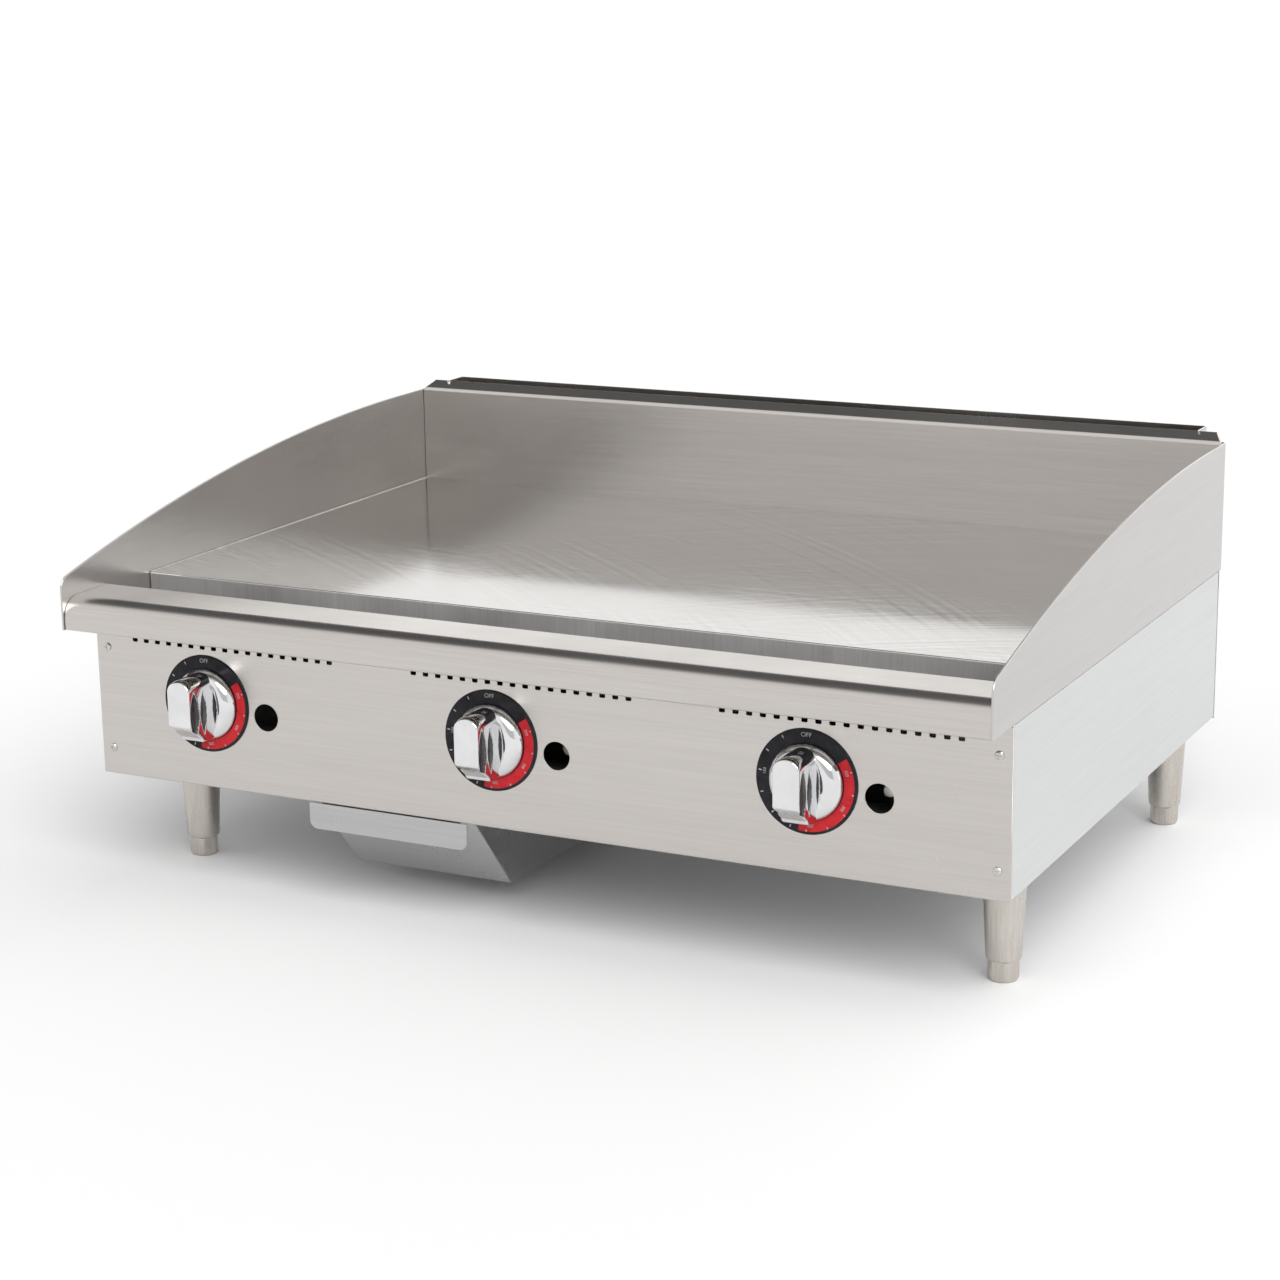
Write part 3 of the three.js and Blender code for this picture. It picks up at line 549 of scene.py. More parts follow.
cast_leg, tree, shader = finish("cast_leg", (0.66, 0.62, 0.57), 1.0, 0.3)
lines = use_group(tree, brushing, Stretch=(300.0, 300.0, 7.0), Fineness=1.0)
vary_colour(tree, shader, lines["Shade"], (0.5, 0.465, 0.42), (0.64, 0.605, 0.565))
vary_roughness(tree, shader, use_group(tree, handling, Size=22.0, Amount=1.3)["Mask"], 0.22, 0.36)
add_bump(tree, shader, lines["Height"], 0.00003)
print("finishes:", len(bpy.data.materials))

# %% [markdown]
# ## Making sheet metal
#
# Nearly every piece is bent sheet. A bend is never sharp: its inside follows the tool's radius. So
# a sheet is drawn as a path, each corner of the path becomes an arc, the path is given a thickness,
# and the section is run along the third axis. A small bevel rounds the cut edges, and its faces are
# what catch the light along every edge.


# %% Paths and sections
def rounded(path, radius, steps=6):
    """An open path with each inner corner replaced by an arc."""
    points = [Vector(p) for p in path]
    made = [points[0]]
    for before, corner, after in zip(points, points[1:], points[2:]):
        arriving, leaving = (corner - before).normalized(), (after - corner).normalized()
        turn = arriving.angle_signed(leaving)
        if abs(turn) < 0.2:
            made.append(corner)
            continue
        setback = radius * math.tan(abs(turn) / 2)
        side = 1 if arriving.cross(leaving) > 0 else -1
        normal = Vector((-arriving.y, arriving.x)) * side
        centre = corner - arriving * setback + normal * radius
        for i in range(steps + 1):
            angle = side * abs(turn) * i / steps
            spoke = -normal * radius
            cosine, sine = math.cos(angle), math.sin(angle)
            turned_spoke = (spoke.x * cosine - spoke.y * sine, spoke.x * sine + spoke.y * cosine)
            made.append(centre + Vector(turned_spoke))
    made.append(points[-1])
    return made


def thickened(path, thickness):
    """A closed section: the path, and its copy a thickness to the left of travel."""
    other = []
    for i, point in enumerate(path):
        runs = [
            (path[b] - path[a]).normalized() for a, b in ((i - 1, i), (i, i + 1)) if a >= 0 and b < len(path)
        ]
        first, last = (Vector((-run.y, run.x)) for run in (runs[0], runs[-1]))
        other.append(point + (first + last) * thickness / (1 + first.dot(last)))
    return [*path, *reversed(other)]


def arc_points(centre, radius, start, end, steps):
    """Points on an arc, in degrees."""
    angles = [math.radians(start + (end - start) * i / steps) for i in range(steps + 1)]
    return [Vector((centre[0] + radius * math.cos(a), centre[1] + radius * math.sin(a))) for a in angles]


# %% Solids from sections
# Where the two axes of a section and the axis of its run point, for each direction of run.
RUNS = {
    "X": lambda u, v, w: Vector((w, u, v)),
    "Y": lambda u, v, w: Vector((u, w, v)),
    "Z": lambda u, v, w: Vector((u, v, w)),
}


def prism(name, section, axis, start, end):
    """The closed section run along an axis from start to end, as one closed mesh."""
    place = RUNS[axis]
    made = bmesh.new()
    rings = [[made.verts.new(place(p[0], p[1], w)) for p in section] for w in (start, end)]
    count = len(section)
    for i in range(count):
        j = (i + 1) % count
        made.faces.new((rings[0][i], rings[0][j], rings[1][j], rings[1][i]))
    made.faces.new(rings[0][::-1])
    made.faces.new(rings[1])
    bmesh.ops.recalc_face_normals(made, faces=made.faces)
    return as_object(name, made)


def as_object(name, made):
    """A bmesh as an object in the scene."""
    mesh = bpy.data.meshes.new(name)
    made.to_mesh(mesh)
    made.free()
    piece = bpy.data.objects.new(name, mesh)
    bpy.context.scene.collection.objects.link(piece)
    return piece


def box_piece(name, x, y, z):
    """A box from its ranges on the three axes."""
    section = [(x[0], y[0]), (x[1], y[0]), (x[1], y[1]), (x[0], y[1])]
    return prism(name, section, "Z", z[0], z[1])


def turned(name, profile, centre, axis="Z", segments=48, radius_at=None):
    """A profile of (radius, height) turned about an axis through centre; radius_at may shape the rings."""
    made = bmesh.new()
    rings = []
    for radius, height in profile:
        if radius < 1e-7:
            rings.append([made.verts.new((0, 0, height))])
            continue
        ring = []
        for i in range(segments):
            angle = 2 * math.pi * i / segments
            reach = radius_at(radius, height, angle) if radius_at else radius
            ring.append(made.verts.new((reach * math.cos(angle), reach * math.sin(angle), height)))
        rings.append(ring)
    for below, over in zip(rings, rings[1:]):
        for i in range(segments):
            j = (i + 1) % segments
            corners = [below[i % len(below)], below[j % len(below)], over[j % len(over)], over[i % len(over)]]
            if len(below) == 1:
                corners = [below[0], over[j], over[i]]
            elif len(over) == 1:
                corners = [below[i], below[j], over[0]]
            made.faces.new(corners)
    for ring in (rings[0], rings[-1]):
        if len(ring) > 1 and profile[0] != profile[-1]:
            made.faces.new(ring)
    if profile[0] == profile[-1]:
        bmesh.ops.remove_doubles(made, verts=made.verts, dist=1e-7)
    bmesh.ops.recalc_face_normals(made, faces=made.faces)
    turn = {
        "X": Matrix.Rotation(math.pi / 2, 4, "Y"),
        "Y": Matrix.Rotation(math.pi / 2, 4, "X"),
        "Z": Matrix.Identity(4),
    }
    made.transform(Matrix.Translation(Vector(centre)) @ turn[axis])
    return as_object(name, made)


# %% Cutting, rounding and shading
def applied(piece):
    """The piece with its modifiers made part of its mesh."""
    depsgraph = bpy.context.evaluated_depsgraph_get()
    mesh = bpy.data.meshes.new_from_object(piece.evaluated_get(depsgraph))
    piece.modifiers.clear()
    old, piece.data = piece.data, mesh
    bpy.data.meshes.remove(old)
    mesh.name = piece.name
    return piece


def join(name, pieces):
    """Several objects as one, with their meshes side by side."""
    made = bmesh.new()
    for piece in pieces:
        made.from_mesh(piece.data)
        bpy.data.objects.remove(piece)
    return as_object(name, made)


def boolean(piece, tool, operation="DIFFERENCE"):
    """Cuts the tool out of the piece, or adds it, and removes the tool."""
    cutter = piece.modifiers.new("cut", "BOOLEAN")
    cutter.operation = operation
    cutter.solver = "EXACT"
    cutter.use_self = operation == "DIFFERENCE"
    cutter.object = tool
    applied(piece)
    bpy.data.objects.remove(tool)
    return piece


def soften(piece, width=0.0003, segments=2, angle=50):
    """Rounds edges sharper than angle, and shades the piece smooth with flat faces kept flat."""
    for face in piece.data.polygons:
        face.use_smooth = True
    piece.data.set_sharp_from_angle(angle=math.radians(angle))
    if width:
        bevel = piece.modifiers.new("edges", "BEVEL")
        bevel.width = width
        bevel.segments = segments
        bevel.limit_method = "ANGLE"
        bevel.angle_limit = math.radians(angle)
        bevel.harden_normals = True
        applied(piece)
    weighted = piece.modifiers.new("shading", "WEIGHTED_NORMAL")
    weighted.keep_sharp = True
    return applied(piece)


def stand_for(piece, material, *replaced):
    """The piece takes the place of CAD nodes: it rides on their body and has their slot."""
    piece.data.materials.clear()
    piece.data.materials.append(material)
    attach(piece, body_of[replaced[0]])
    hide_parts(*replaced)
    print(piece.name, len(piece.data.polygons), "faces")
    return piece


SHEET = 1.5 * MM

# %% [markdown]
# ## Ledge
#
# The front ledge is one sheet: a return under its lower edge, an upright face, a nose of 20 mm
# radius, the flat shelf, and a flange down into the trough. The nose is the piece that shows most
# of the room, so it has many short faces.

# %% Ledge
start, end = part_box("front_ledge")
NOSE = 20 * MM
ledge_path = [
    Vector((start.y + 16 * MM, start.z)),
    *rounded([(start.y + 16 * MM, start.z), (start.y, start.z), (start.y, end.z - NOSE)], 2.5 * MM)[1:],
    *arc_points((start.y + NOSE, end.z - NOSE), NOSE, 180, 90, 24)[1:],
    *rounded([(start.y + NOSE, end.z), (end.y, end.z), (end.y, end.z - 26 * MM)], 3 * MM)[1:],
]
ledge = prism("ledge", thickened(ledge_path[::-1], SHEET), "X", start.x, end.x)
stand_for(soften(ledge), steel_across, "front_ledge")

# %% [markdown]
# ## Splashes
#
# A side splash is flat sheet with a long curved taper. Its edge is ground round, which is the
# bright line that outlines it. The outline is two arcs and three straight sides, like the node it
# stands for.


# %% Side splashes
def splash_outline(start, end):
    taper_end, taper_radius, corner = end.y - 58.5 * MM, 2370 * MM, 13 * MM
    low_centre = end.z - taper_radius
    corner_y = start.y + corner
    lean = math.asin((taper_end - corner_y) / (taper_radius - corner))
    corner_z = low_centre + (taper_radius - corner) * math.cos(lean)
    meet = 90 + math.degrees(lean)
    return [
        Vector((start.y, start.z)),
        Vector((end.y, start.z)),
        Vector((end.y, end.z)),
        *arc_points((taper_end, low_centre), taper_radius, 90, meet, 40),
        *arc_points((corner_y, corner_z), corner, meet, 180, 10)[1:],
    ]


for side in SIDES:
    start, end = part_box(f"splash_{side}")
    splash = prism(f"side_splash_{side}", splash_outline(start, end), "X", start.x, end.x)
    stand_for(soften(splash, 0.0006, 3), steel_splash, f"splash_{side}")

# %% [markdown]
# The back splash is bent at the height of the side splashes: its last 9.5 mm lean back towards the
# flue, and the corners of that strip are cut at 45 degrees. The lean makes the strip mirror the
# dark area overhead, so it reads as a dark line over a bright sheet.

# %% Back splash
start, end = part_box("splash_back")
bend_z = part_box("splash_left")[1].z
strip = end.z - bend_z
lean = strip * math.tan(math.radians(58))
back_path = rounded([(start.y, start.z), (start.y, bend_z), (start.y + lean, end.z - 0.6 * MM)], 3 * MM)
back_splash = prism("back_splash", thickened(back_path[::-1], -(end.y - start.y)), "X", start.x, end.x)
for way in (-1, 1):
    corner_x = max(way * start.x, way * end.x)
    triangle = [
        (way * (corner_x + 1 * MM), bend_z),
        (way * corner_x, bend_z),
        (way * (corner_x - strip), end.z),
        (way * (corner_x - strip), end.z + 5 * MM),
        (way * (corner_x + 1 * MM), end.z + 5 * MM),
    ]
    boolean(back_splash, prism("corner", triangle, "Y", start.y - 0.01, end.y + lean + 0.01))
stand_for(soften(back_splash, 0.0004), steel_across, "splash_back")

# %% [markdown]
# ## Plate and its weld
#
# The plate is 25 mm of steel. Its front edge is eased, and it is welded to the splashes all round.
# The weld is dressed down to a small cove, which is modelled as its own thin piece: a concave
# section run along each joint.

# %% Plate
start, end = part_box("griddle_plate")
plate = box_piece("cooking_plate", (start.x, end.x), (start.y, end.y), (start.z, end.z))
stand_for(soften(plate, 0.0012, 3), plate_steel, "griddle_plate")
plate.data.materials.append(plate_edge)
for face in plate.data.polygons:
    face.material_index = 0 if face.normal.z > 0.7 else 1

# %% Weld coves
COVE = 1.0 * MM


def cove(name, axis, corner, ways, run):
    """A concave fillet in the corner between two faces, run along an axis."""
    u, v = corner
    arc = arc_points((0, 0), COVE, 180, 270, 6)
    section = [Vector((u, v))]
    section += [Vector((u + ways[0] * (COVE + p.x), v + ways[1] * (COVE + p.y))) for p in arc]
    piece = soften(prism(name, section, axis, *run), 0)
    piece.data.materials.append(plate_steel)
    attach(piece, body_of["griddle_plate"])
    return piece


cove("weld_left", "Y", (start.x, end.z), (1, 1), (start.y + 2 * MM, end.y))
cove("weld_right", "Y", (end.x, end.z), (-1, 1), (start.y + 2 * MM, end.y))
cove("weld_back", "X", (end.y, end.z), (-1, 1), (start.x, end.x))

# %% [markdown]
# ## Trough and chute
#
# The trough is a bent channel with welded end walls and a square drain. Grease runs down the chute
# into the drawer. Boolean cutters are the plain way to open a drain, since the sheet is flat there.

# %% Trough
start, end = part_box("grease_trough")
chute_low, chute_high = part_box("grease_chute")
rear_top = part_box("griddle_plate")[0].z - 0.6 * MM
trough_path = rounded(
    [(start.y, end.z), (start.y, start.z), (end.y, start.z), (end.y, rear_top)], 4 * MM
)
channel = prism("channel", thickened(trough_path, SHEET), "X", start.x, end.x)
walls = [
    box_piece(
        "wall",
        (x, x + SHEET),
        (start.y + 1 * MM, end.y - 1 * MM),
        (start.z + 0.5 * MM, rear_top - 0.5 * MM),
    )
    for x in (start.x, end.x - SHEET)
]
trough = join("trough", [channel, *walls])
inset = 3 * MM
drain = box_piece(
    "drain",
    (chute_low.x + inset, chute_high.x - inset),
    (chute_low.y + inset, chute_high.y - inset),
    (start.z - 5 * MM, start.z + 5 * MM),
)
stand_for(soften(boolean(trough, drain), 0.0002), steel_drawer, "grease_trough")

# %% [markdown]
# ## Control panel
#
# One sheet faces the cook: bent back along its lower edge, and pierced for the valve stems, the
# lighting ports and three rows of small air slots right under the ledge. The section is
# bent first and pierced after, as in the workshop.

# %% Control panel
start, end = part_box("control_panel")
panel = prism(
    "panel",
    thickened(rounded([(start.y, end.z), (start.y, start.z), (end.y, start.z)], 2.2 * MM), SHEET),
    "X",
    start.x,
    end.x,
)
face_y = start.y
knob_centres = {}
port_centres = {}
for zone in ZONES:
    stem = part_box(f"valve_stem_{zone}")
    knob_centres[zone] = (stem[0] + stem[1]) / 2
    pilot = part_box(f"pilot_valve_{zone}")
    port_centres[zone] = Vector(((pilot[0].x + pilot[1].x) / 2, face_y, 0))
port_level = knob_centres["left"].z - 6.7 * MM


def drill(radius, x, z, y=None, length=10 * MM, segments=32):
    """A round cutter along Y through the face of a panel."""
    at = face_y if y is None else y
    profile = [(0, -length), (radius, -length), (radius, length), (0, length)]
    return turned("drill", profile, (x, at, z), "Y", segments)


PORT_RADIUS = 13 * MM
cutters = []
for zone in ZONES:
    cutters.append(drill(9 * MM, knob_centres[zone].x, knob_centres[zone].z))
    cutters.append(drill(PORT_RADIUS, port_centres[zone].x, port_level, segments=48))
SLOT_COUNT, SLOT_PITCH, SLOT_WIDTH = 18, 12.7 * MM, 5.6 * MM
slot_low, slot_high = end.z - 16.4 * MM, end.z - 6 * MM
zone_pitch = knob_centres["right"].x - knob_centres["middle"].x
for zone in (-1, 0, 1):
    for i in range(SLOT_COUNT):
        x = zone * zone_pitch + (i - (SLOT_COUNT - 1) / 2) * SLOT_PITCH
        outline = rounded(
            [(x, slot_low), (x + SLOT_WIDTH / 2, slot_low), (x + SLOT_WIDTH / 2, slot_high),
             (x - SLOT_WIDTH / 2, slot_high), (x - SLOT_WIDTH / 2, slot_low), (x, slot_low)],
            1.2 * MM, 3,
        )
        cutters.append(prism("slot", outline[:-1], "Y", face_y - 10 * MM, face_y + 10 * MM))
boolean(panel, join("cutters", cutters))
stand_for(soften(panel, 0.00025), steel_across, "control_panel")

# %% [markdown]
# ## Side and rear sheets
#
# Each side is one sheet bent in at both ends, so the upright corner of the body is round. The rear
# panel has nine air slots and the hole for the supply pipe.

# %% Side panels
for side, way in (("left", -1), ("right", 1)):
    start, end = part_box(f"side_panel_{side}")
    outer = end.x if way > 0 else start.x
    flange = outer - way * 24 * MM
    plan = rounded([(flange, start.y), (outer, start.y), (outer, end.y), (flange, end.y)], 2.2 * MM)
    sheet = prism(f"body_side_{side}", thickened(plan, way * SHEET), "Z", start.z, end.z)
    stand_for(soften(sheet), steel_along, f"side_panel_{side}")

# %% Rear panel
start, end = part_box("rear_panel")
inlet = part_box("gas_inlet")
pipe_radius = 13.35 * MM
pipe_x, pipe_z = inlet[1].x - 17 * MM, (inlet[0].z + inlet[1].z) / 2
rear = box_piece("body_rear", (start.x, end.x), (start.y, end.y), (start.z, end.z))
vents = [drill(pipe_radius + 3 * MM, pipe_x, pipe_z, start.y)]
for step in range(-4, 5):
    middle = step * 80 * MM
    half, tall = 27 * MM, 4 * MM
    outline = arc_points((middle + half - tall, 0.140), tall, -90, 90, 8)
    outline += arc_points((middle - half + tall, 0.140), tall, 90, 270, 8)
    vents.append(prism("vent", outline, "Y", start.y - 0.01, end.y + 0.01))
boolean(rear, join("vents", vents))
stand_for(soften(rear, 0.00025), aluminised, "rear_panel")

# %% Flue
start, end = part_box("flue_riser")
duct = 429 * MM
splash_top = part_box("splash_left")[1].z
hat = rounded(
    [(start.x, start.y + SHEET), (-duct, start.y + SHEET), (-duct, end.y), (duct, end.y),
     (duct, start.y + SHEET), (end.x, start.y + SHEET)][::-1],
    2.2 * MM,
)
flue = prism("flue", thickened(hat, SHEET), "Z", start.z, end.z)
for way in (-1, 1):
    outer, inner = way * (end.x + 5 * MM), way * (duct + 0.6 * MM)
    trim = box_piece(
        "trim", sorted((inner, outer)), (start.y - 5 * MM, start.y + 5 * MM), (splash_top, end.z + 5 * MM)
    )
    boolean(flue, trim)
inside = duct - SHEET
flue_floor = box_piece(
    "flue_floor",
    (-inside, inside),
    (start.y + 2 * MM, end.y - SHEET - 0.1 * MM),
    (start.z + 0.5 * MM, start.z + 0.5 * MM + SHEET),
)
flue = join("flue", [flue, flue_floor])
stand_for(soften(flue, 0.0003), steel_across, "flue_riser")

# %% [markdown]
# ## Knobs
#
# A knob is a chromed casting: a domed skirt and an upright bar to grip. The bar has a rounded top, a
# bevelled foot and two scoops down each side for the fingers, which the eye reads as two dark
# lens shapes. The skirt is turned. The bar is a loft: rings from back to front, each a rounded
# outline whose sides are pulled in where a scoop runs. White surroundings would leave the scoops
# pale, so their faces take a near-black chrome on the knob's second slot: this dark colour is painted shade.


# %% The grip bar
BAR_HALF, BAR_BACK, BAR_FRONT = 12.2, 8.0, 45.0
BAR_TOP, BAR_FOOT = 32.0, -30.0
FACE_FOOT, BEVEL_START, BEVEL_FOOT = -12.0, 27.0, -26.5
SCOOPS = ((37.0, 7.0, -1.5, 22.5), (23.0, 5.0, -2.0, 20.0))  # depth, half width, middle, half height
SCOOP_DEPTH = 2.7


def bar_ends(depth):
    """Top and foot of the bar at a depth in front of the panel, in millimetres."""
    over_shoulder = max(0.0, (depth - 38) / (BAR_FRONT - 38))
    top = BAR_TOP - 2.0 * over_shoulder**2
    if depth < BEVEL_START:
        toe = max(0.0, (depth - BEVEL_START + 3) / 3)
        return top, BAR_FOOT + (BEVEL_FOOT - BAR_FOOT) * toe**2
    return top, BEVEL_FOOT + (FACE_FOOT - BEVEL_FOOT) * (depth - BEVEL_START) / (BAR_FRONT - BEVEL_START)


def scoop(depth, z):
    """How far a side is pulled in, in millimetres: two lens shapes, each a hollow."""
    pull = 0.0
    for middle, half, level, tall in SCOOPS:
        lens = half * (1 - ((z - level) / tall) ** 2)
        if lens > 0.05 and abs(depth - middle) < lens:
            pull += SCOOP_DEPTH * math.sqrt(lens / half) * (1 - ((depth - middle) / lens) ** 2)
    return pull


def bar_ring(depth, inset=0.0):
    """The bar's outline at a depth: an arched top and small rounds at the foot."""
    top, foot = bar_ends(depth)
    top, foot, half = top - inset, foot + inset, BAR_HALF - inset
    arch, small = 9.5, 1.6
    points = [Vector((p.x * half, top - arch + p.y * arch)) for p in arc_points((0, 0), 1, 0, 180, 24)]
    drop = top - arch - foot - small
    side = [top - arch - drop * i / 30 for i in range(1, 30)]
    points += [Vector((-half, z)) for z in side]
    points += arc_points((-half + small, foot + small), small, 180, 270, 4)
    points += arc_points((half - small, foot + small), small, 270, 360, 4)
    points += [Vector((half, z)) for z in reversed(side)]
    return [
        Vector((p.x - math.copysign(scoop(depth, p.y) * min(1.0, abs(p.x) / half), p.x), p.y)) for p in points
    ]


def grip_bar():
    """The bar as one closed bmesh in the knob's own axes, in metres."""
    steps = 60
    reach = BAR_FRONT - 1.0 - BAR_BACK
    rings_at = [(BAR_BACK + reach * i / steps, 0.0) for i in range(steps + 1)]
    rings_at += [(BAR_FRONT - 1 + math.sin(a), 1 - math.cos(a)) for a in (0.4, 0.8, 1.2, math.pi / 2)]
    made = bmesh.new()
    rings = [
        [made.verts.new((p.x * MM, -depth * MM, p.y * MM)) for p in bar_ring(depth, inset)]
        for depth, inset in rings_at
    ]
    count = len(rings[0])
    for before, after in zip(rings, rings[1:]):
        for i in range(count):
            j = (i + 1) % count
            made.faces.new((before[i], before[j], after[j], after[i]))
    made.faces.new(rings[0])
    made.faces.new(rings[-1])
    bmesh.ops.recalc_face_normals(made, faces=made.faces)
    return made


# %% Knobs in place
SKIRT = [
    (0, 13.0), (12, 12.9), (20, 12.6), (24.5, 12.0), (27.5, 10.9), (30, 9.3), (31.9, 7.4), (33.2, 5.5),
    (33.9, 4.2), (34.0, 3.5), (33.8, 2.9), (33.2, 2.45), (0, 2.4),
]
STEM_BORE, BORE_DEPTH = 4.4 * MM, 14 * MM
SCOOP_EDGE, BAR_CORE, RIM = 0.12, 6, 0.05  # where a face counts as in a scoop, in millimetres
for zone in ZONES:
    centre = Vector((knob_centres[zone].x, face_y, knob_centres[zone].z))
    skirt = turned("skirt", [(r * MM, h * MM) for r, h in SKIRT], centre, "Y", 96)
    bar = grip_bar()
    bar.transform(Matrix.Translation(centre))
    knob = boolean(skirt, as_object("bar", bar), "UNION")
    bore = [(0, -5 * MM), (STEM_BORE, -5 * MM), (STEM_BORE, BORE_DEPTH), (0, BORE_DEPTH)]
    boolean(knob, turned("bore", bore, centre, "Y", 24))
    knob.name = f"knob_chrome_{zone}"
    stand_for(soften(knob, 0, angle=38), chrome, f"knob_{zone}")
    # The second slot puts painted shade, a near-black chrome, on the faces inside the scoops.
    knob.data.materials.append(scoop_shade_chrome)
    for face in knob.data.polygons:
        local = (face.center - centre) / MM
        hollow = scoop(-local.y, local.z) > SCOOP_EDGE and BAR_CORE < abs(local.x) < BAR_HALF - RIM
        face.material_index = 1 if hollow and abs(face.normal.x) > 0.5 else 0

# %% [markdown]
# ## Dials
#
# Behind each knob is an enamelled plate with printed marks: a red band down the right, pale ticks,
# and a few plain numbers with the word for the closed position. The print is modelled as skins a
# twentieth of a millimetre thick on the plate, because a skin stays crisp at any distance.

# %% Dial plates
DIAL = 46.5
for zone in ZONES:
    centre = (knob_centres[zone].x, face_y, knob_centres[zone].z)
    profile = [(9, 1.6), (DIAL - 1.0, 1.6), (DIAL - 0.35, 1.45), (DIAL, 1.0), (DIAL, 0.1), (9, 0.1), (9, 1.6)]
    dial = turned(f"dial_{zone}", [(r * MM, h * MM) for r, h in profile], centre, "Y", 128)
    stand_for(soften(dial, 0, angle=40), enamel, f"dial_plate_{zone}")


# %% Printed marks
def ring_sector(made, inner, outer, start, end, steps, height=1.62, skin=0.05):
    """A flat sector of a ring, as a closed skin, in dial axes: degrees clockwise from the top."""
    rows = []
    top = height + skin
    for i in range(steps + 1):
        angle = math.radians(start + (end - start) * i / steps)
        spoke = Vector((math.sin(angle), 0, math.cos(angle)))
        rows.append(
            [
                made.verts.new(spoke * radius * MM + Vector((0, -depth * MM, 0)))
                for radius, depth in ((inner, height), (outer, height), (outer, top), (inner, top))
            ]
        )
    for a, b in zip(rows, rows[1:]):
        for i in range(4):
            j = (i + 1) % 4
            made.faces.new((a[i], a[j], b[j], b[i]))
    made.faces.new(rows[0])
    made.faces.new(rows[-1][::-1])


def lettering(text, size, radius, degrees):
    """Text whose middle is at a place on the dial, upright along the spoke, as a mesh."""
    curve = bpy.data.curves.new("text", "FONT")
    curve.body = text
    curve.size = size * MM
    curve.align_x, curve.align_y = "CENTER", "CENTER"
    curve.extrude = 0.025 * MM
    holder = bpy.data.objects.new("text", curve)
    bpy.context.scene.collection.objects.link(holder)
    bpy.context.view_layer.update()
    mesh = bpy.data.meshes.new_from_object(holder.evaluated_get(bpy.context.evaluated_depsgraph_get()))
    bpy.data.objects.remove(holder)
    upright = Matrix.Rotation(math.pi / 2, 4, "X")
    spin = Matrix.Rotation(math.radians(degrees), 4, "Y")
    mesh.transform(spin @ Matrix.Translation((0, -1.66 * MM, radius * MM)) @ upright)
    return mesh


def print_piece(name, made, centre, material, zone):
    """A printed skin that stays with the dial plate."""
    made.transform(Matrix.Translation(centre))
    bmesh.ops.recalc_face_normals(made, faces=made.faces)
    piece = as_object(name, made)
    piece.data.materials.append(material)
    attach(piece, body_of[f"dial_plate_{zone}"])
    return piece


for zone in ZONES:
    centre = Vector((knob_centres[zone].x, face_y, knob_centres[zone].z))
    band = bmesh.new()
    ring_sector(band, 34.6, 43.8, 56, 190, 60)
    print_piece(f"dial_band_{zone}", band, centre, print_red, zone)
    marks = bmesh.new()
    for degrees in range(200, 331, 26):
        ring_sector(marks, 41.5, 44.2, degrees - 0.7, degrees + 0.7, 1)
    for degrees in range(72, 181, 27):
        ring_sector(marks, 42.0, 43.8, degrees - 0.6, degrees + 0.6, 1, 1.67)
    words = [("OFF", 5.6, 41.2, 0), ("150", 4.0, 38.6, 278), ("200", 4.0, 38.6, 226)]
    words += [("250", 3.8, 38.4, 174), ("300", 3.8, 38.4, 120), ("350", 3.8, 38.4, 72)]
    for text, size, radius, degrees in words:
        mesh = lettering(text, size, radius, degrees)
        if 50 < degrees < 195:
            mesh.transform(Matrix.Translation((0, -0.05 * MM, 0)))
        marks.from_mesh(mesh)
        bpy.data.meshes.remove(mesh)
    print_piece(f"dial_marks_{zone}", marks, centre, print_pale, zone)

# %% [markdown]
# ## Screws
#
# Four truss-head screws hold the panel to the sides. The head is turned and its cross recess is cut
# with two crossed bars, each screw stopped at its own angle.

# %% Screws
HEAD = [
    (0, 1.9), (1.4, 1.85), (2.6, 1.6), (3.4, 1.15), (3.9, 0.55), (3.9, 0.2), (1.9, 0.2), (1.9, -9),
    (0, -9),
]
for number, (row, side) in enumerate((row, side) for row in ("lower", "upper") for side in SIDES):
    node = f"panel_screw_{row}_{side}"
    start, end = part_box(node)
    centre = Vector(((start.x + end.x) / 2, face_y, (start.z + end.z) / 2))
    screw = turned(f"screw_{row}_{side}", [(r * MM, h * MM) for r, h in HEAD], centre, "Y", 40)
    bars = bmesh.new()
    for turn in (0, 90):
        angle = math.radians(turn + 17 + 29 * number)
        size = Matrix.Diagonal((4.4 * MM, 2.4 * MM, 0.95 * MM, 1))
        place = Matrix.Translation(centre + Vector((0, -2.0 * MM, 0))) @ Matrix.Rotation(angle, 4, "Y") @ size
        bmesh.ops.create_cube(bars, size=1, matrix=place)
    boolean(screw, as_object("recess", bars))
    stand_for(soften(screw, 0.0001, 1, 45), steel_screw, node)

# %% [markdown]
# ## Grease drawer
#
# The tray is folded from one sheet: floor, sloping front and rear wall, with welded sides and a
# flange along each that hangs on a rail. The lip in front is the handle: a plate with rounded lower
# corners on a short tab.

# %% Tray
start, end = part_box("grease_tray")
TRAY_SHEET = 1.2 * MM
lip_start, lip_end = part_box("drawer_handle")
left, right = lip_start.x, lip_end.x
toe_y = start.y + (80 - 13.2) * MM
tray_path = [(start.y, end.z), (toe_y, start.z), (end.y, start.z), (end.y, end.z)]
tray_section = thickened(rounded(tray_path, 2.5 * MM), TRAY_SHEET)
wrap = prism("wrap", tray_section, "X", left + 0.4 * MM, right - 0.4 * MM)
walls = []
for x, way in ((left, 1), (right, -1)):
    outline = [Vector(p) for p in rounded(tray_path, 2.5 * MM)]
    walls.append(prism("wall", outline, "X", *sorted((x, x + way * TRAY_SHEET))))
    bend = rounded(
        [(x - way * 8.8 * MM, end.z - TRAY_SHEET), (x + way * TRAY_SHEET, end.z - TRAY_SHEET)], 1 * MM
    )
    walls.append(prism("flange", thickened(bend, way * TRAY_SHEET), "Y", start.y + 17 * MM, end.y))
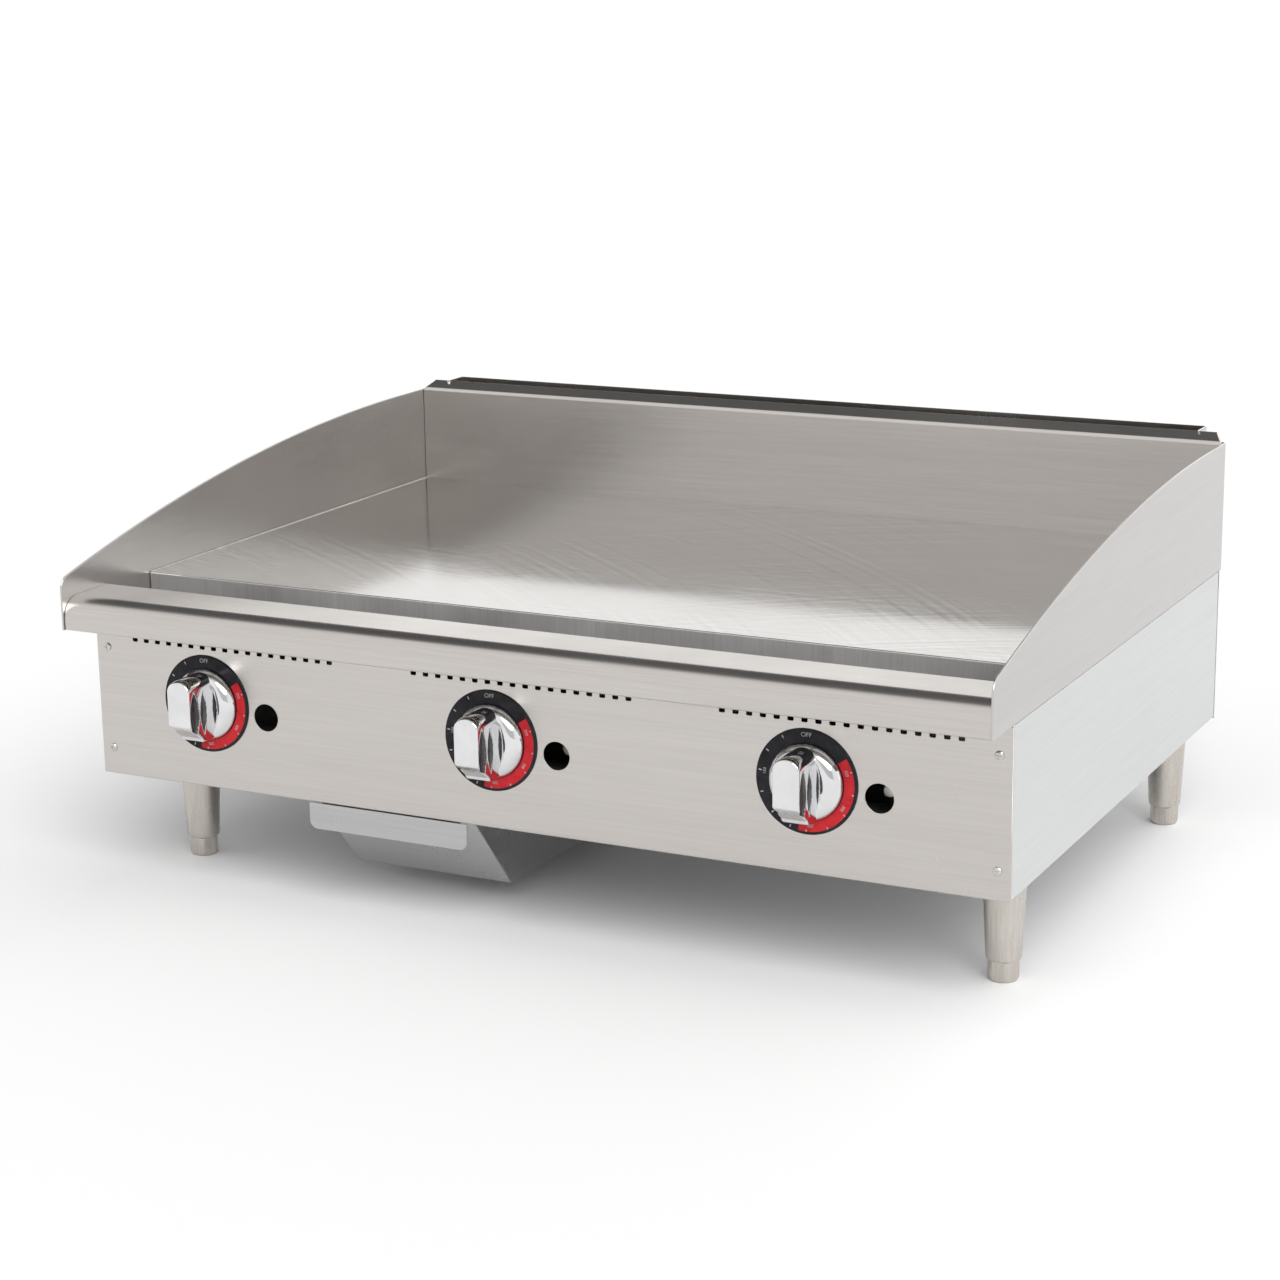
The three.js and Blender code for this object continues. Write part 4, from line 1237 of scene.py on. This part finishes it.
tray = join("tray", [wrap, *walls])
stand_for(soften(tray, 0.00025), steel_drawer, "grease_tray")

# %% Lip
CORNER = 8 * MM
lip_outline = [
    Vector((left, lip_end.z)),
    *arc_points((left + CORNER, lip_start.z + CORNER), CORNER, 180, 270, 12),
    *arc_points((right - CORNER, lip_start.z + CORNER), CORNER, 270, 360, 12),
    Vector((right, lip_end.z)),
]
lip = prism("lip", lip_outline, "Y", lip_start.y, lip_start.y + TRAY_SHEET)
tab_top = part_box("grease_tray")[1].z - 0.5 * MM
tab = box_piece(
    "tab",
    (left + 10 * MM, right - 10 * MM),
    (lip_start.y + 0.6 * MM, lip_end.y),
    (tab_top - TRAY_SHEET, tab_top),
)
stand_for(soften(join("drawer_lip", [lip, tab]), 0.00035), steel_drawer, "drawer_handle")

# %% [markdown]
# ## Legs
#
# A leg is a tapered casting, and its foot is a hexagon for a spanner, screwed up into it. The foot
# is turned like the leg, but each ring is held inside a hexagon, so its flats fade out at the round
# edges as they do on a chamfered nut.

# %% Legs and feet
LEG = [
    (0, 84), (7.6, 84), (7.6, 19.3), (14.6, 19.3), (15.2, 19.6), (15.6, 20.4), (15.9, 22), (16.6, 36),
    (19.3, 92),
    (20.2, 103), (20.5, 105.2), (20.3, 105.7), (5.7, 105.7), (5.7, 122), (0, 122),
]
FOOT = [
    (0, 0), (11.2, 0), (12.2, 0.3), (13.0, 1.1), (13.6, 2.4), (14.2, 5), (14.2, 17.2), (13.8, 18.6),
    (13.0, 19),
    (5.8, 19), (5.8, 80), (0, 80),
]
ACROSS_FLATS = 12.9 * MM


def hexagonal(radius, height, angle):
    """A ring of that radius, cut by the flats of the foot's hexagon."""
    if radius < 10 * MM:
        return radius
    sixth = math.pi / 3
    return min(radius, ACROSS_FLATS / math.cos((angle % sixth) - sixth / 2))


for row in ("front", "rear"):
    for side in SIDES:
        start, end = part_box(f"leg_{row}_{side}")
        centre = ((start.x + end.x) / 2, (start.y + end.y) / 2, 0)
        leg = turned(f"cast_leg_{row}_{side}", [(r * MM, h * MM) for r, h in LEG], centre)
        stand_for(soften(leg, 0, angle=35), cast_leg, f"leg_{row}_{side}")
        foot = turned(
            f"hex_foot_{row}_{side}",
            [(r * MM, h * MM) for r, h in FOOT],
            centre,
            segments=72,
            radius_at=hexagonal,
        )
        stand_for(soften(foot, 0, angle=24), cast_leg, f"foot_{row}_{side}")

# %% [markdown]
# ## Burners and gas pipe
#
# A burner is a bent tube with two rows of ports. It is swept along its route with a curve, closed
# at one end, and drilled. The supply pipe at the rear ends in a thread, which is a stack of small
# ridges: at this size a helix would look the same.


# %% Burners
def burner_tube(name, near_x, far_x, mouth, closed, bend, level, radius):
    """A tube out to the bend and back, as a closed mesh."""
    spread = (far_x - near_x) / 2
    route = [Vector((near_x, mouth)), *arc_points(((near_x + far_x) / 2, bend), spread, 180, 0, 24)]
    route.append(Vector((far_x, closed)))
    made = bmesh.new()
    rings = []
    for i, point in enumerate(route):
        ahead = route[min(i + 1, len(route) - 1)] - route[max(i - 1, 0)]
        across = Vector((ahead.y, -ahead.x)).normalized()
        ring = []
        for k in range(32):
            angle = 2 * math.pi * k / 32
            flat = point + across * radius * math.cos(angle)
            ring.append(made.verts.new((flat.x, flat.y, level + radius * math.sin(angle))))
        rings.append(ring)
    for before, after in zip(rings, rings[1:]):
        for k in range(32):
            j = (k + 1) % 32
            made.faces.new((before[k], before[j], after[j], after[k]))
    made.faces.new(rings[0])
    made.faces.new(rings[-1])
    bmesh.ops.recalc_face_normals(made, faces=made.faces)
    return as_object(name, made)


BURNER_RADIUS = 18 * MM
for zone in ZONES:
    start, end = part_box(f"burner_{zone}")
    level = knob_centres[zone].z
    near_x, far_x = start.x + BURNER_RADIUS, end.x - BURNER_RADIUS
    bend = end.y - (far_x - near_x) / 2 - BURNER_RADIUS
    tube = burner_tube(
        f"burner_tube_{zone}",
        near_x,
        far_x,
        start.y,
        start.y + 70 * MM,
        bend,
        level,
        BURNER_RADIUS - 0.1 * MM,
    )
    cutters = [drill(BURNER_RADIUS - 2 * MM, near_x, level, start.y, 60 * MM)]
    for x in (near_x, far_x):
        for i in range(18):
            for way in (-1, 1):
                profile = [(0, -3 * MM), (1.6 * MM, -3 * MM), (1.6 * MM, 3 * MM), (0, 3 * MM)]
                at = (x + way * 9 * MM, start.y + (95 + 18 * i) * MM, level + 15.4 * MM)
                cutters.append(turned("port", profile, at, "Z", 10))
    boolean(tube, join("cutters", cutters))
    stand_for(soften(tube, 0, angle=35), burner_steel, f"burner_{zone}")

# %% Gas inlet
start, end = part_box("gas_inlet")
elbow = 17 * MM
corner_y = start.y + elbow
thread = []
for i in range(14):
    back_from_end = (1.5 + 1.8 * i) * MM
    thread += [(12.2 + 0.03 * i, end.y - back_from_end), (13.2, end.y - back_from_end - 0.9 * MM)]
outline = [(10.4, end.y - 50 * MM), (10.4, end.y), (11.8, end.y), *thread]
outline += [(13.35, end.y - 28 * MM), (13.35, corner_y + 22 * MM)]
profile = [(0, end.y - 50 * MM), *outline, (0, corner_y + 22 * MM)]
pipe = turned("pipe", [(r * MM, -y) for r, y in profile], (pipe_x, 0, pipe_z), "Y", 40)
collar = [(0, 22), (16.2, 22), (17, 21), (17, 15), (16, 13), (15, 0), (0, 0)]
socket = turned("socket", [(r * MM, -h * MM) for r, h in collar], (pipe_x, corner_y, pipe_z), "Y", 40)
arm = turned("arm", [(r * MM, -h * MM * 19 / 22) for r, h in collar], (pipe_x, corner_y, pipe_z), "X", 40)
knuckle = bmesh.new()
bmesh.ops.create_uvsphere(knuckle, u_segments=40, v_segments=20, radius=15.6 * MM)
knuckle.transform(Matrix.Translation((pipe_x, corner_y, pipe_z)))
fitting = join("supply_pipe", [pipe, socket, arm, as_object("knuckle", knuckle)])
stand_for(soften(fitting, 0, angle=35), black_pipe, "gas_inlet")

# %% [markdown]
# ## Pieces that keep their own mesh
#
# The rest of the frame is right as it is: flat inner walls, rails, valves and tubes. Each of these
# only needs its finish in the material slot.

# %% Finishes for the rest
BY_START = {
    "firewall": aluminised,
    "burner_rail": aluminised,
    "heat_shield": aluminised,
    "plate_rail": aluminised,
    "bottom_pan": aluminised,
    "pilot_tube": aluminised,
    "pilot_valve": valve_nickel,
    "drawer_rail": aluminised,
    "air_shutter": steel_drawer,
    "grease_chute": steel_drawer,
    "manifold_pipe": black_pipe,
    "gas_valve": brass,
    "valve_stem": brass,
}
for name, node in frame["nodes"].items():
    if node.hide_render:
        continue
    material = next(made for begin, made in BY_START.items() if name.startswith(begin))
    node.data.materials.clear()
    node.data.materials.append(material)
kept = [name for name, node in frame["nodes"].items() if not node.hide_render]
print("kept nodes:", len(kept))
